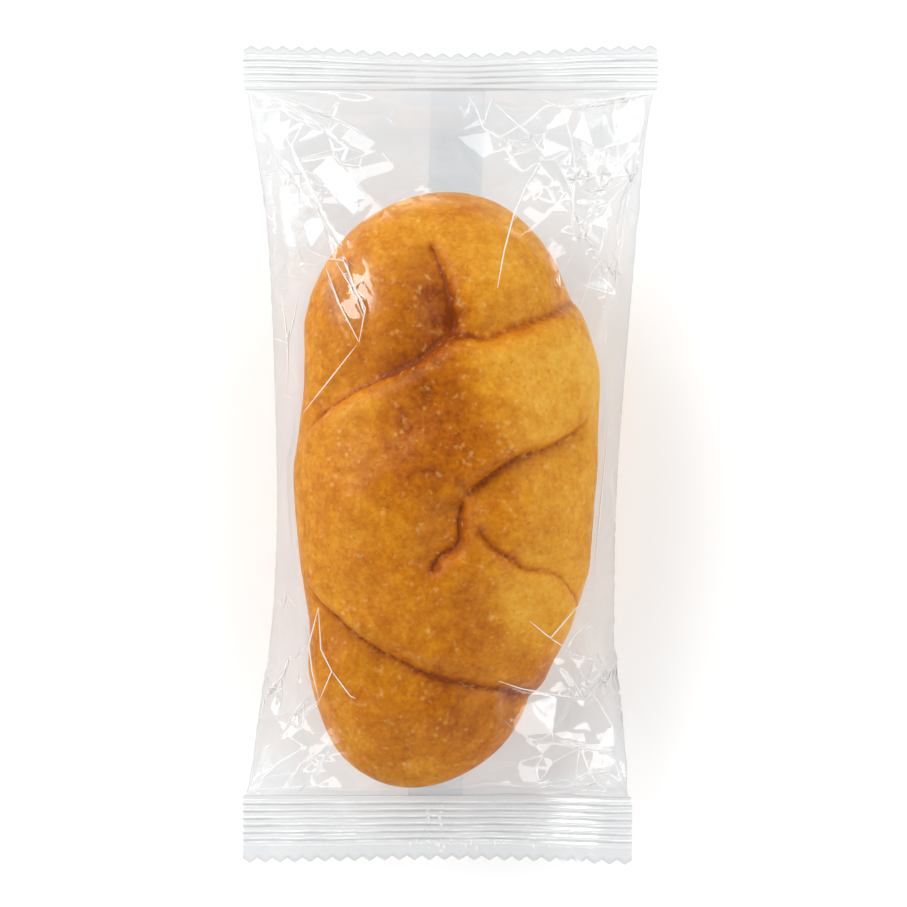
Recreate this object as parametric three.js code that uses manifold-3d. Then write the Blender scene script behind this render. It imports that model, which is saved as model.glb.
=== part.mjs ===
// A croissant sealed in a clear flow-wrap bag, as one closed solid.
// Millimetres. +Z is up, +Y points to the narrower top seal, +X to the right.
// Z = 0 is the table that the bag lies on.
//
// Three forms are joined: the croissant that pushes up under the film, the
// pillow of film round it, and the two crimped end seals with the lap seam
// that runs between them along the underside.
import * as THREE from 'three';
import { ParametricGeometry } from 'three/addons/geometries/ParametricGeometry.js';
import { mergeVertices } from 'three/addons/utils/BufferGeometryUtils.js';
import Module from 'manifold-3d';

const wasm = await Module();
wasm.setup();

// ---------------------------------------------------------------- main sizes
const bendReach = 16; // how far in from a seal the pillow follows its bends
const topSeal = {
  left: -46.1, right: 46.1, inner: 80.6, outer: 89.7, thick: 0.9,
  teeth: 26, toothDepth: 1.1, ridges: 5, ridgePitch: 1.55, ridgeRise: 0.32,
  dip: 1.5, // how far the middle of the toothed edge is drawn in, seen from above
  lift: 9, // height above the table
  sag: 1.2, // how far the middle hangs below the corners
  ripple: 1, waves: 9, phase: 0, // a slow wave along the seal
  cornerRaise: 0, // how far the right corner curls up
};
const bottomSeal = {
  left: -46.1, right: 40.1, inner: -75.6, outer: -89.7, thick: 0.9,
  teeth: 26, toothDepth: 1.1, ridges: 7, ridgePitch: 1.6, ridgeRise: 0.32,
  dip: 0.5, lift: 11, sag: 0, ripple: 0.6, waves: 7, phase: 1, cornerRaise: 5,
};
const knifeDepth = 30; // reaches through the strip wherever it bends
const lapSeam = { width: 12, proud: 0.5, rooted: 0.6, centreTop: 1.7, centreBottom: -3.4 };
const foldedCorner = { x: -45.9, y: -89.6, along: 6.2, up: 4.6, thick: 0.7 };

// The croissant: its length, its round ends, and stations from tip to tip.
const croissant = {
  topTip: 57.8, bottomTip: -74.1, // along Y
  topRound: 30.8, bottomRound: 33.4, // length over which each end rounds off
  equator: 0.43, // height of the widest line, as a share of the height
  squareness: 2.2, // 2 is a plain ellipse, more is fuller in the shoulders
  girthRadius: 31, // turns an angle round the body into millimetres
  sideFlattening: 0.6, // how much of the relief is pressed out at the sides
  underFullness: 1.16, // the underside would bulge this much below the table
};
//            y     centre  half width  height
const croissantStations = [
  [57.8, -0.6, 28.8, 33],
  [48, -2.2, 28.7, 36],
  [33, -1.6, 30.0, 38],
  [18, 0.4, 32.6, 39.5],
  [5, -0.4, 33.1, 40.5],
  [-8, -1.4, 33.1, 41],
  [-25, -1.4, 31.7, 39],
  [-38, -2.3, 29.2, 35.5],
  [-48, -4.7, 27.2, 32.5],
  [-58, -5.9, 26.2, 30],
  [-68, -7.6, 26.6, 28],
  [-74.1, -8.6, 26.0, 27],
];

// The rolled layers meet in creases. Each runs through a few places, given as
// x and y seen from above, and sinks a wide soft valley with a sharp slit in it.
const creases = [
  { // the middle wrap lies over the upper lobe
    path: [[-32.9, 3.4], [-27, 10.4], [-19.6, 15], [-9, 19.4], [0, 25.4], [8, 24.8], [16, 27.2], [26.4, 31.9], [30.5, 34.5]],
    valley: 2.6, valleyWidth: 5.2, slit: 1.4, slitWidth: 1.9, step: 1.1, stepWidth: 7,
  },
  { // the upper lobe is itself two turns of dough
    path: [[-4.6, 46], [-2.4, 40.5], [-0.3, 34.5], [0.7, 28.5], [0, 25.4]],
    valley: 2.0, valleyWidth: 4.6, slit: 0.6, slitWidth: 1.9, step: -0.5, stepWidth: 5,
  },
  { // upper edge of the wedge that ends the roll
    path: [[30.5, 7], [24.2, 1.8], [15.2, -1.2], [9.6, -4.6], [2.9, -9.6]],
    valley: 2.0, valleyWidth: 4.6, slit: 1.3, slitWidth: 1.8, step: 0.7, stepWidth: 5,
  },
  { // the same crease turns down the middle of the crown
    path: [[2.9, -9.6], [2.2, -15], [1.9, -19.6], [-2.6, -22.4], [-4.4, -26.2]],
    valley: 2.0, valleyWidth: 4.2, slit: 1.0, slitWidth: 1.8, step: -0.4, stepWidth: 5,
  },
  { // lower edge of the wedge
    path: [[6, -15.6], [9.4, -20], [16.5, -24.6], [23.1, -26], [27.2, -30.4], [29, -35]],
    valley: 1.0, valleyWidth: 3.2, slit: 0.9, slitWidth: 1.8, step: 0.5, stepWidth: 4,
  },
  { // the middle wrap lies over the lower lobe
    path: [[-31.5, -29], [-24.6, -37.7], [-12.3, -45.4], [1.3, -49.8], [11.3, -51.6], [19, -53], [22, -54.5]],
    valley: 2.8, valleyWidth: 5.0, slit: 1.4, slitWidth: 1.9, step: -1.1, stepWidth: 7,
  },
];

// The pillow of film: stations from seal to seal. "edge" is the height of the
// side folds, "crown" rises above them and "belly" hangs below them; "arch" is
// 1 for a flat lens and 0.5 for a full round section.
//       y     left   right  edge  crown  belly  arch
const pillowStations = [
  [82.5, -45.6, 45.6, 9.0, 0.2, 0.2, 0.9],
  [80, -45.5, 45.3, 9.0, 1.2, 0.9, 0.95],
  [73, -45.0, 44.0, 8.7, 7.0, 5.4, 0.9],
  [61, -42.2, 42.9, 8.0, 13.5, 9.0, 0.78],
  [50, -40.6, 41.8, 7.5, 17.5, 9.0, 0.7],
  [36, -39.9, 40.6, 7.5, 20.5, 9.0, 0.62],
  [14, -39.4, 38.9, 8.0, 23, 9.5, 0.57],
  [-9, -38.8, 37.1, 8.5, 23.5, 10, 0.56],
  [-30, -39.2, 36.6, 8.0, 22.5, 9.5, 0.58],
  [-43, -40.4, 36.1, 7.5, 20, 9.0, 0.64],
  [-51, -41.6, 36.2, 7.8, 17.5, 9.2, 0.7],
  [-60, -43.0, 37.9, 8.8, 14, 10, 0.8],
  [-68.5, -44.3, 39.3, 10, 8.5, 8.0, 0.88],
  [-74.5, -45.2, 39.6, 11, 2.2, 1.8, 0.95],
  [-77.5, -45.4, 39.6, 11, 0.2, 0.2, 0.9],
];

// ------------------------------------------------------------------- helpers
// A smooth value at y from one column of a table of stations.
function station(rows, y, column) {
  const last = rows.length - 1;
  let i = 0;
  while (i < last - 1 && y < rows[i + 1][0]) i += 1;
  const value = (k) => rows[Math.min(Math.max(k, 0), last)][column];
  const place = (k) => rows[Math.min(Math.max(k, 0), last)][0];
  const span = place(i + 1) - place(i);
  const t = THREE.MathUtils.clamp((y - place(i)) / span, 0, 1);
  const slope = (k) => {
    const width = place(k + 1) - place(k - 1);
    return width === 0 ? 0 : (value(k + 1) - value(k - 1)) / width;
  };
  const a = value(i);
  const b = value(i + 1);
  const s0 = slope(i) * span;
  const s1 = slope(i + 1) * span;
  return (2 * t ** 3 - 3 * t ** 2 + 1) * a + (t ** 3 - 2 * t ** 2 + t) * s0
    + (-2 * t ** 3 + 3 * t ** 2) * b + (t ** 3 - t ** 2) * s1;
}

// Welds a geometry into one closed skin and hands it on for joining.
function solid(geometry) {
  const bare = new THREE.BufferGeometry();
  bare.setAttribute('position', geometry.getAttribute('position'));
  if (geometry.index) bare.setIndex(geometry.index);
  const skin = mergeVertices(bare, 1e-4);
  const index = skin.index.array;
  const kept = [];
  for (let i = 0; i < index.length; i += 3) {
    const [a, b, c] = [index[i], index[i + 1], index[i + 2]];
    if (a !== b && b !== c && c !== a) kept.push(a, b, c);
  }
  let body = new wasm.Manifold(new wasm.Mesh({
    numProp: 3,
    vertProperties: new Float32Array(skin.getAttribute('position').array),
    triVerts: new Uint32Array(kept),
  }));
  if (body.volume() < 0) {
    for (let i = 0; i < kept.length; i += 3) [kept[i], kept[i + 1]] = [kept[i + 1], kept[i]];
    body = new wasm.Manifold(new wasm.Mesh({
      numProp: 3,
      vertProperties: new Float32Array(skin.getAttribute('position').array),
      triVerts: new Uint32Array(kept),
    }));
  }
  return body;
}

// The end seals aren't flat: they wave, sag and curl up at a corner, and the
// film next to them follows. Everything near an end is bent by this one rule.
function bendAt(x, y) {
  const seal = y > 0 ? topSeal : bottomSeal;
  const share = THREE.MathUtils.clamp((x - seal.left) / (seal.right - seal.left), 0, 1);
  const wave = seal.ripple * Math.sin(seal.waves * share + seal.phase);
  const sag = seal.sag * Math.sin(Math.PI * share) ** 2;
  const curl = seal.cornerRaise * THREE.MathUtils.smoothstep(share, 0.72, 1);
  const near = THREE.MathUtils.smoothstep(Math.abs(y), Math.abs(seal.inner) - bendReach, Math.abs(seal.inner));
  return near * (wave - sag + curl);
}

const power = (value, exponent) => Math.sign(value) * Math.abs(value) ** exponent;
const bump = (distance, width) => Math.exp(-((distance / width) ** 2));

// ------------------------------------------------------------- the croissant
// How full the body is at y: 1 along the middle, falling to 0 at each round tip.
function fullness(y) {
  const c = croissant;
  const up = Math.max(0, (y - (c.topTip - c.topRound)) / c.topRound);
  const down = Math.max(0, ((c.bottomTip + c.bottomRound) - y) / c.bottomRound);
  return Math.sqrt(Math.max(0, 1 - Math.max(up, down) ** 2));
}

// A place seen from above, x and y, becomes an angle round the body from the
// crown, in millimetres, and y. Past the side it simply runs on.
function unroll([x, y]) {
  const half = Math.max(4, station(croissantStations, y, 2) * Math.max(0.35, fullness(y)));
  const share = (x - station(croissantStations, y, 1)) / half;
  const inside = THREE.MathUtils.clamp(share, -0.985, 0.985);
  const angle = Math.asin(power(inside, croissant.squareness / 2)) + (share - inside) * 4;
  return new THREE.Vector2(angle * croissant.girthRadius, y);
}

const creaseLines = creases.map((crease) => {
  const curve = new THREE.SplineCurve(crease.path.map(unroll));
  return { ...crease, points: curve.getSpacedPoints(48) };
});

// How far the surface is moved in or out at a place of the unrolled body.
function relief(u, y) {
  let offset = 0;
  for (const line of creaseLines) {
    let nearest = Infinity;
    let side = 0;
    let along = 0;
    for (let i = 0; i < line.points.length - 1; i += 1) {
      const a = line.points[i];
      const b = line.points[i + 1];
      const dx = b.x - a.x;
      const dy = b.y - a.y;
      const t = THREE.MathUtils.clamp(((u - a.x) * dx + (y - a.y) * dy) / (dx * dx + dy * dy), 0, 1);
      const px = u - (a.x + t * dx);
      const py = y - (a.y + t * dy);
      const distance = Math.hypot(px, py);
      if (distance < nearest) {
        nearest = distance;
        side = Math.sign(px * dy - py * dx);
        along = (i + t) / (line.points.length - 1);
      }
    }
    const fade = THREE.MathUtils.smoothstep(along, -0.05, 0.12) * THREE.MathUtils.smoothstep(1 - along, -0.05, 0.12);
    offset -= fade * line.valley * bump(nearest, line.valleyWidth);
    offset -= fade * line.slit * Math.exp(-nearest / line.slitWidth);
    offset += fade * line.step * side * bump(nearest, line.stepWidth) * Math.min(1, nearest / 1.5);
  }
  return offset;
}

// Gentle swellings that keep the crust from looking turned on a lathe.
function swelling(u, y) {
  return 0.45 * Math.sin(u / 9.5 + 0.8) * Math.sin(y / 11 + 0.4)
    + 0.3 * Math.sin(u / 5.1 + y / 8.3) + 0.22 * Math.sin(y / 4.4 - u / 7.7 + 1.9);
}

function croissantPoint(v, w, target) {
  const c = croissant;
  const middle = (c.topTip + c.bottomTip) / 2;
  const reach = (c.topTip - c.bottomTip) / 2;
  const ends = Math.cos(w * Math.PI);
  const y = middle + reach * (0.55 * ends + 0.45 * Math.sin((0.5 - w) * Math.PI));
  const full = fullness(y);
  const angle = (v * 2 - 1) * Math.PI; // 0 at the crown
  const half = station(croissantStations, y, 2) * full;
  const height = station(croissantStations, y, 3);
  const equator = height * c.equator;
  const up = Math.cos(angle) >= 0 ? height - equator : equator * c.underFullness;
  const u = angle * c.girthRadius;
  const shallower = 1 - croissant.sideFlattening * Math.sin(angle) ** 2;
  const towardsCrown = Math.cos(angle / 2); // 0 along the line where the underside meets itself
  const out = full * (shallower * relief(u, y) + towardsCrown * swelling(u, y));
  const sx = power(Math.sin(angle), 2 / c.squareness);
  const sz = power(Math.cos(angle), 2 / c.squareness);
  target.set(
    station(croissantStations, y, 1) + (half + out) * sx,
    y,
    equator + (up * full + out) * sz,
  );
}

const dough = solid(new ParametricGeometry(croissantPoint, 66, 74));

// ------------------------------------------------------------ the film pillow
function pillowPoint(v, w, target) {
  const y = THREE.MathUtils.lerp(pillowStations[0][0], pillowStations.at(-1)[0], w);
  const [left, right, edge, crown, belly, arch] = [1, 2, 3, 4, 5, 6].map((k) => station(pillowStations, y, k));
  const angle = (v * 2 - 1) * Math.PI;
  const across = Math.sin(angle);
  const lens = Math.max(0, 1 - across * across) ** arch;
  const round = Math.max(0, 1 - across * across) ** 0.4;
  const x = (left + right) / 2 + ((right - left) / 2) * across;
  const z = Math.cos(angle) >= 0 ? edge + crown * lens : edge - belly * round;
  target.set(x, y, z + bendAt(x, y));
}

// A loft whose flat end rings are zipped shut, upper edge to lower edge.
function zipped(pointAt, slices, stacks) {
  const rings = new ParametricGeometry(pointAt, slices, stacks);
  const index = Array.from(rings.index.array);
  const below = (i) => (slices * 1.5 - i) % slices;
  for (const start of [0, stacks * (slices + 1)]) {
    for (let i = slices / 4; i < (slices * 3) / 4; i += 1) {
      const corners = [i, i + 1, below(i + 1), below(i)].map((k) => start + k);
      const [a, b, c, d] = start === 0 ? corners.toReversed() : corners;
      index.push(a, b, c, a, c, d);
    }
  }
  rings.setIndex(index);
  return rings;
}

const pillow = solid(zipped(pillowPoint, 40, 36));

// -------------------------------------------------------------- the end seals
// Lifts a strip made flat to its place, bends it, and draws in its toothed edge.
function settle(geometry, seal) {
  const position = geometry.getAttribute('position');
  for (let i = 0; i < position.count; i += 1) {
    const x = position.getX(i);
    const y = position.getY(i);
    const share = THREE.MathUtils.clamp((x - seal.left) / (seal.right - seal.left), 0, 1);
    const out = THREE.MathUtils.clamp((y - seal.inner) / (seal.outer - seal.inner), 0, 1);
    position.setY(i, y - Math.sign(seal.outer) * seal.dip * out * Math.sin(Math.PI * share) ** 2);
    position.setZ(i, position.getZ(i) + seal.lift + bendAt(x, y));
  }
  return geometry;
}

// The crimped strip is a ridged profile drawn across the seal and run along it,
// then trimmed by a knife with rounded teeth.
function sealStrip(seal) {
  const outwards = Math.sign(seal.outer);
  const crest = (i) => seal.inner + outwards * (1 + i * seal.ridgePitch);
  const wave = [[seal.inner - outwards * 1.2, 0]];
  for (let i = 0; i < seal.ridges; i += 1) {
    wave.push([crest(i) - outwards * seal.ridgePitch / 2, 0], [crest(i), seal.ridgeRise]);
  }
  wave.push([crest(seal.ridges - 0.5), 0], [seal.outer + outwards * seal.toothDepth, 0]);
  const profile = new THREE.Shape();
  wave.forEach(([y, z], i) => profile[i === 0 ? 'moveTo' : 'lineTo'](y, z + seal.thick / 2));
  wave.toReversed().forEach(([y, z]) => profile.lineTo(y, z - seal.thick / 2));
  profile.closePath();
  const run = new THREE.ExtrudeGeometry(profile, {
    depth: seal.right - seal.left, steps: 16, bevelEnabled: false,
  });
  run.applyMatrix4(new THREE.Matrix4().set(0, 0, 1, seal.left, 1, 0, 0, 0, 0, 1, 0, 0, 0, 0, 0, 1));

  const knife = new THREE.Shape();
  const pitch = (seal.right - seal.left) / seal.teeth;
  knife.moveTo(seal.left - 1, seal.inner - outwards * 3);
  knife.lineTo(seal.left - 1, seal.outer);
  for (let i = 0; i < seal.teeth; i += 1) {
    const x = seal.left + pitch * i;
    knife.lineTo(x, seal.outer);
    knife.lineTo(x + pitch * 0.28, seal.outer + outwards * seal.toothDepth * 0.85);
    knife.lineTo(x + pitch * 0.5, seal.outer + outwards * seal.toothDepth);
    knife.lineTo(x + pitch * 0.72, seal.outer + outwards * seal.toothDepth * 0.85);
  }
  knife.lineTo(seal.right + 1, seal.outer);
  knife.lineTo(seal.right + 1, seal.inner - outwards * 3);
  knife.closePath();
  const block = new THREE.ExtrudeGeometry(knife, { depth: knifeDepth, bevelEnabled: false });
  block.translate(0, 0, -knifeDepth / 2);
  return solid(settle(run, seal)).intersect(solid(settle(block, seal)));
}

// ---------------------------------------------------- the lap seam underneath
// It is a thin strip that follows the belly of the pillow from seal to seal.
function lapStrip() {
  const [from, to] = [pillowStations.at(-1)[0], pillowStations[0][0]];
  const strip = new THREE.BoxGeometry(lapSeam.width, to - from, 1, 1, 26, 1);
  strip.translate(0, (from + to) / 2, 0);
  const position = strip.getAttribute('position');
  for (let i = 0; i < position.count; i += 1) {
    const y = position.getY(i);
    const centre = THREE.MathUtils.mapLinear(y, from, to, lapSeam.centreBottom, lapSeam.centreTop);
    const belly = station(pillowStations, y, 3) - station(pillowStations, y, 5);
    position.setX(i, position.getX(i) + centre);
    const side = position.getZ(i) > 0 ? lapSeam.rooted : -lapSeam.proud;
    position.setZ(i, belly + side + bendAt(position.getX(i), y));
  }
  return solid(strip);
}

// The lower left corner of the bottom seal is folded over on itself.
function cornerFold() {
  const c = foldedCorner;
  const flap = new THREE.Shape();
  flap.moveTo(c.x, c.y);
  flap.lineTo(c.x + c.along, c.y + 0.2);
  flap.lineTo(c.x + 0.8, c.y + c.up);
  flap.closePath();
  const prism = new THREE.ExtrudeGeometry(flap, { depth: c.thick, bevelEnabled: false });
  prism.translate(0, 0, bottomSeal.thick / 4);
  return solid(settle(prism, bottomSeal));
}

// ------------------------------------------------------------------ the whole
const aboveTable = new THREE.BoxGeometry(140, 240, 80);
aboveTable.translate(0, 0, 40);

const whole = pillow
  .add(dough)
  .add(sealStrip(topSeal))
  .add(sealStrip(bottomSeal))
  .add(lapStrip())
  .add(cornerFold())
  .intersect(solid(aboveTable));

function toGeometry(body) {
  const mesh = body.getMesh();
  const geometry = new THREE.BufferGeometry();
  const points = new Float32Array(mesh.numVert * 3);
  for (let i = 0; i < mesh.numVert; i += 1) {
    for (let k = 0; k < 3; k += 1) points[i * 3 + k] = mesh.vertProperties[i * mesh.numProp + k];
  }
  geometry.setAttribute('position', new THREE.BufferAttribute(points, 3));
  geometry.setIndex(new THREE.BufferAttribute(new Uint32Array(mesh.triVerts), 1));
  geometry.computeVertexNormals();
  return geometry;
}

const filmOverCrust = new THREE.MeshStandardMaterial({ color: 0xd79a4a, roughness: 0.35, metalness: 0 });
const sealedBag = new THREE.Mesh(toGeometry(whole), filmOverCrust);
sealedBag.name = 'sealed_bag';

const group = new THREE.Group();
group.name = 'packaged_croissant';
group.add(sealedBag);

export default group;
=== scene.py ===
# %% [markdown]
# # A croissant sealed in a clear bag
#
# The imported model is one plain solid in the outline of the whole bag. This
# lesson puts the real thing in its place: a soft baked croissant, and round it
# a bag of clear film with a crimped, toothed seal at each end.
#
# The frame is loaded first, and its box is kept, so that what is made here can
# be compared with it at the end.

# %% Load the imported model
import math
import time

import bpy
import numpy as np
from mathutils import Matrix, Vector
from mathutils.bvhtree import BVHTree
from mathutils.geometry import delaunay_2d_cdt


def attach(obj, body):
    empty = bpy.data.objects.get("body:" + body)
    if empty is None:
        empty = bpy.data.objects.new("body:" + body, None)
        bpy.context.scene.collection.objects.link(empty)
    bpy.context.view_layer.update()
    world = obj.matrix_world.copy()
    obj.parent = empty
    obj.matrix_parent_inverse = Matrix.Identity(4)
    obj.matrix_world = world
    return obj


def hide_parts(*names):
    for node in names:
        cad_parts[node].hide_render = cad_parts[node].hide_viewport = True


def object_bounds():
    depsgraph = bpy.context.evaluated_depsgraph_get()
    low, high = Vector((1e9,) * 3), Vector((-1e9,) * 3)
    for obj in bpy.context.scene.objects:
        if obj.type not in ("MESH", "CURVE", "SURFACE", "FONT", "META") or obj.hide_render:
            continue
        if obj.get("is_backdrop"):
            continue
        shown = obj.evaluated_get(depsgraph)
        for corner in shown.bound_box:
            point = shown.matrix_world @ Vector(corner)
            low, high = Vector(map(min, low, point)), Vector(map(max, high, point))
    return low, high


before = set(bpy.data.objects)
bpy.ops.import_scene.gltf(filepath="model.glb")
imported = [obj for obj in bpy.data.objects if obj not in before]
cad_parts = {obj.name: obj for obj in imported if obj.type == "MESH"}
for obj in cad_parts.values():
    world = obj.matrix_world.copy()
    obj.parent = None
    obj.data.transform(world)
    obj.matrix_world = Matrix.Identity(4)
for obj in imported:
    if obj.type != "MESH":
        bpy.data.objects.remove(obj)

MM = 0.001  # everything below is worked out in millimetres, and made in metres
cad_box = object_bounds()
scene = bpy.context.scene
scene.view_settings.view_transform = "Standard"
print("the packed model's box:", [list(corner) for corner in cad_box])

# %% [markdown]
# ## The camera
#
# The photograph looks straight down from about a metre. A long lens, 177 mm,
# then takes in 201 mm across the frame at the height of the seals.

# %% Camera, straight above
CAMERA_HEIGHT = 1000.0
FRAMED = 201.5          # millimetres across the picture, at the height of the seals
SEAL_HEIGHT = 10.0
PICTURE_CENTRE = 0.67   # the photograph's centre lies this far right of the bag's
lens = bpy.data.cameras.new("camera")
lens.sensor_width = 36.0
lens.lens = lens.sensor_width * (CAMERA_HEIGHT - SEAL_HEIGHT) / FRAMED
lens.clip_end = 50
camera = bpy.data.objects.new("camera", lens)
camera.location = (PICTURE_CENTRE * MM, 0, CAMERA_HEIGHT * MM)
scene.collection.objects.link(camera)
scene.camera = camera
print("focal length", round(lens.lens, 1), "mm")

# %% [markdown]
# ## The croissant's form
#
# A croissant is a thin triangle of dough rolled up from its base, so it is fat
# in the middle, where most turns lie over each other, and each turn ends in a
# crease that winds round it. This one is soft and plump, more a roll than a
# moon.
#
# It could be sculpted, or made from several balls joined together. Here it is a
# loft: at each place along it a table gives its centre, half width and height,
# and the creases are cut into that smooth body. The same numbers are in the
# CAD source, so the crust fills the solid that it replaces.

# %% Sizes of the croissant
TIP_TOP, TIP_BOTTOM = 57.8, -74.1        # along Y
ROUND_TOP, ROUND_BOTTOM = 30.8, 33.4     # length over which each end rounds off
EQUATOR = 0.43          # height of the widest line, as a share of the height
SQUARENESS = 2.2        # 2 is a plain ellipse, more is fuller in the shoulders
GIRTH_RADIUS = 31.0     # turns an angle round the body into millimetres
SIDE_FLATTENING = 0.6   # the film presses the creases out at the sides
UNDER_FULLNESS = 1.16   # the lower half reaches below the table, where it is cut flat
STATIONS = np.array([
    # y, centre, half width, height
    (57.8, -0.6, 28.8, 33), (48, -2.2, 28.7, 36), (33, -1.6, 30.0, 38), (18, 0.4, 32.6, 39.5),
    (5, -0.4, 33.1, 40.5), (-8, -1.4, 33.1, 41), (-25, -1.4, 31.7, 39), (-38, -2.3, 29.2, 35.5),
    (-48, -4.7, 27.2, 32.5), (-58, -5.9, 26.2, 30), (-68, -7.6, 26.6, 28), (-74.1, -8.6, 26.0, 27),
], float)


def station(rows, y, column):
    """A smooth value at y, from one column of a table whose y falls from row to row."""
    place, value = rows[:, 0], rows[:, column]
    i = np.clip(np.searchsorted(-place, -np.asarray(y, float), side="right") - 1, 0, len(rows) - 2)
    far_place, far_value = np.pad(place, 1, "edge"), np.pad(value, 1, "edge")
    slope = (far_value[2:] - far_value[:-2]) / (far_place[2:] - far_place[:-2])
    span = place[i + 1] - place[i]
    t = np.clip((y - place[i]) / span, 0, 1)
    return ((2 * t**3 - 3 * t**2 + 1) * value[i] + (t**3 - 2 * t**2 + t) * slope[i] * span
            + (3 * t**2 - 2 * t**3) * value[i + 1] + (t**3 - t**2) * slope[i + 1] * span)


def smooth(low, high, x):
    """0 below low and 1 above high, with an even rise between them."""
    t = np.clip((x - low) / (high - low), 0, 1)
    return t * t * (3 - 2 * t)


def signed_power(value, exponent):
    """A power that keeps the sign."""
    return np.sign(value) * np.abs(value) ** exponent


def towards_tip(y):
    """0 along the body, rising to 1 at each tip, and which tip it is."""
    up = np.maximum(0, (y - (TIP_TOP - ROUND_TOP)) / ROUND_TOP)
    down = np.maximum(0, ((TIP_BOTTOM + ROUND_BOTTOM) - y) / ROUND_BOTTOM)
    return np.maximum(up, down), np.where(up > down, 1.0, -1.0)


def fullness(y):
    """How much of its full section the croissant has left at y, as its ends round off."""
    return np.sqrt(np.maximum(0, 1 - towards_tip(y)[0] ** 2))


# %% [markdown]
# ## The creases between the turns
#
# Where one turn of dough ends on the next, the surface sinks in a soft valley
# with a sharp slit at its bottom, and one side stands higher than the other.
# Each crease is a short list of places seen from above. The body is unrolled,
# so that a crease keeps its width where it runs down the side.

# %% Creases
CREASES = {
    "middle wrap over the upper lobe": dict(
        path=[(-32.9, 3.4), (-27, 10.4), (-19.6, 15), (-9, 19.4), (0, 25.4), (8, 24.8), (16, 27.2),
              (26.4, 31.9), (30.5, 34.5)],
        valley=2.6, valley_width=5.2, slit=1.6, slit_width=0.75, step=1.1, step_width=7),
    "notch in the upper lobe": dict(
        path=[(-4.6, 46), (-2.4, 40.5), (-0.3, 34.5), (0.7, 28.5), (0, 25.4)],
        valley=2.0, valley_width=4.6, slit=0.5, slit_width=0.9, step=-0.5, step_width=5),
    "upper edge of the wedge": dict(
        path=[(30.5, 7), (24.2, 1.8), (15.2, -1.2), (9.6, -4.6), (2.9, -9.6)],
        valley=2.0, valley_width=4.6, slit=1.4, slit_width=0.75, step=0.7, step_width=5),
    "down the crown": dict(
        path=[(2.9, -9.6), (2.2, -15), (1.9, -19.6), (-2.6, -22.4), (-4.4, -26.2)],
        valley=2.0, valley_width=4.2, slit=1.0, slit_width=0.8, step=-0.4, step_width=5),
    "lower edge of the wedge": dict(
        path=[(6, -15.6), (9.4, -20), (16.5, -24.6), (23.1, -26), (27.2, -30.4), (29, -35)],
        valley=1.0, valley_width=3.2, slit=0.9, slit_width=0.7, step=0.5, step_width=4),
    "middle wrap over the lower lobe": dict(
        path=[(-31.5, -29), (-24.6, -37.7), (-12.3, -45.4), (1.3, -49.8), (11.3, -51.6), (19, -53),
              (22, -54.5)],
        valley=2.8, valley_width=5.0, slit=1.6, slit_width=0.75, step=-1.1, step_width=7),
}
LIP_SHARE, COVERED_SHARE = 0.42, 1.45   # the valley is steep under the lip, and gentle on the covered turn
STEPS_PER_PLACE = 8                     # of a crease's line, from each place of its path to the next


def unroll(places):
    """Places seen from above become millimetres round the body from the crown, and y."""
    x, y = np.asarray(places, float).T
    half = np.maximum(4, station(STATIONS, y, 2) * np.maximum(0.35, fullness(y)))
    share = (x - station(STATIONS, y, 1)) / half
    inside = np.clip(share, -0.985, 0.985)
    angle = np.arcsin(signed_power(inside, SQUARENESS / 2)) + (share - inside) * 4
    return np.stack([angle * GIRTH_RADIUS, y], 1)


def curve(a, b, c, d, f):
    """A smooth curve from b to c, with a before and d after them, at f from 0 to 1."""
    return 0.5 * (2 * b + (c - a) * f + (2 * a - 5 * b + 4 * c - d) * f**2 + (3 * b - a - 3 * c + d) * f**3)


def through(points, steps):
    """A smooth line through the points, with so many steps from each to the next."""
    p = np.vstack([2 * points[0] - points[1], points, 2 * points[-1] - points[-2]])
    t = np.arange(steps * (len(points) - 1) + 1) / steps
    i = np.minimum(t.astype(int), len(points) - 2)
    return curve(p[i], p[i + 1], p[i + 2], p[i + 3], (t - i)[:, None])


def from_line(u, y, line):
    """Distance to a line, which side of it, and how far along it from 0 to 1."""
    best = np.full(np.broadcast(u, y).shape, 1e9)
    side, along = np.zeros(best.shape), np.zeros(best.shape)
    for i, (a, b) in enumerate(zip(line[:-1], line[1:])):
        dx, dy = b - a
        t = np.clip(((u - a[0]) * dx + (y - a[1]) * dy) / (dx * dx + dy * dy), 0, 1)
        px, py = u - (a[0] + t * dx), y - (a[1] + t * dy)
        distance = np.hypot(px, py)
        nearer = distance < best
        best = np.where(nearer, distance, best)
        side = np.where(nearer, np.sign(px * dy - py * dx), side)
        along = np.where(nearer, (i + t) / (len(line) - 1), along)
    return best, side, along


def relief(u, y):
    """How far the creases move the crust in, and how deep in a slit each place is."""
    out, depth = np.zeros(np.broadcast(u, y).shape), np.zeros(np.broadcast(u, y).shape)
    for crease in CREASES.values():
        distance, side, along = from_line(u, y, through(unroll(crease["path"]), STEPS_PER_PLACE))
        fade = smooth(-0.05, 0.12, along) * smooth(-0.05, 0.12, 1 - along)
        over = side * np.sign(crease["step"])       # 1 on the turn that lies on top
        valley_width = crease["valley_width"] * np.where(over > 0, LIP_SHARE, COVERED_SHARE)
        slit = fade * np.exp(-distance / crease["slit_width"])
        out -= fade * crease["valley"] * np.exp(-((distance / valley_width) ** 2))
        out -= crease["slit"] * slit
        out += (fade * abs(crease["step"]) * over * np.exp(-((distance / crease["step_width"]) ** 2))
                * np.minimum(1, distance / 1.5))
        depth = np.maximum(depth, slit)
    return out, depth


def swelling(u, y):
    """Gentle waves of the dough, a centimetre or more across."""
    return (0.45 * np.sin(u / 9.5 + 0.8) * np.sin(y / 11 + 0.4) + 0.3 * np.sin(u / 5.1 + y / 8.3)
            + 0.22 * np.sin(y / 4.4 - u / 7.7 + 1.9))


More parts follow.
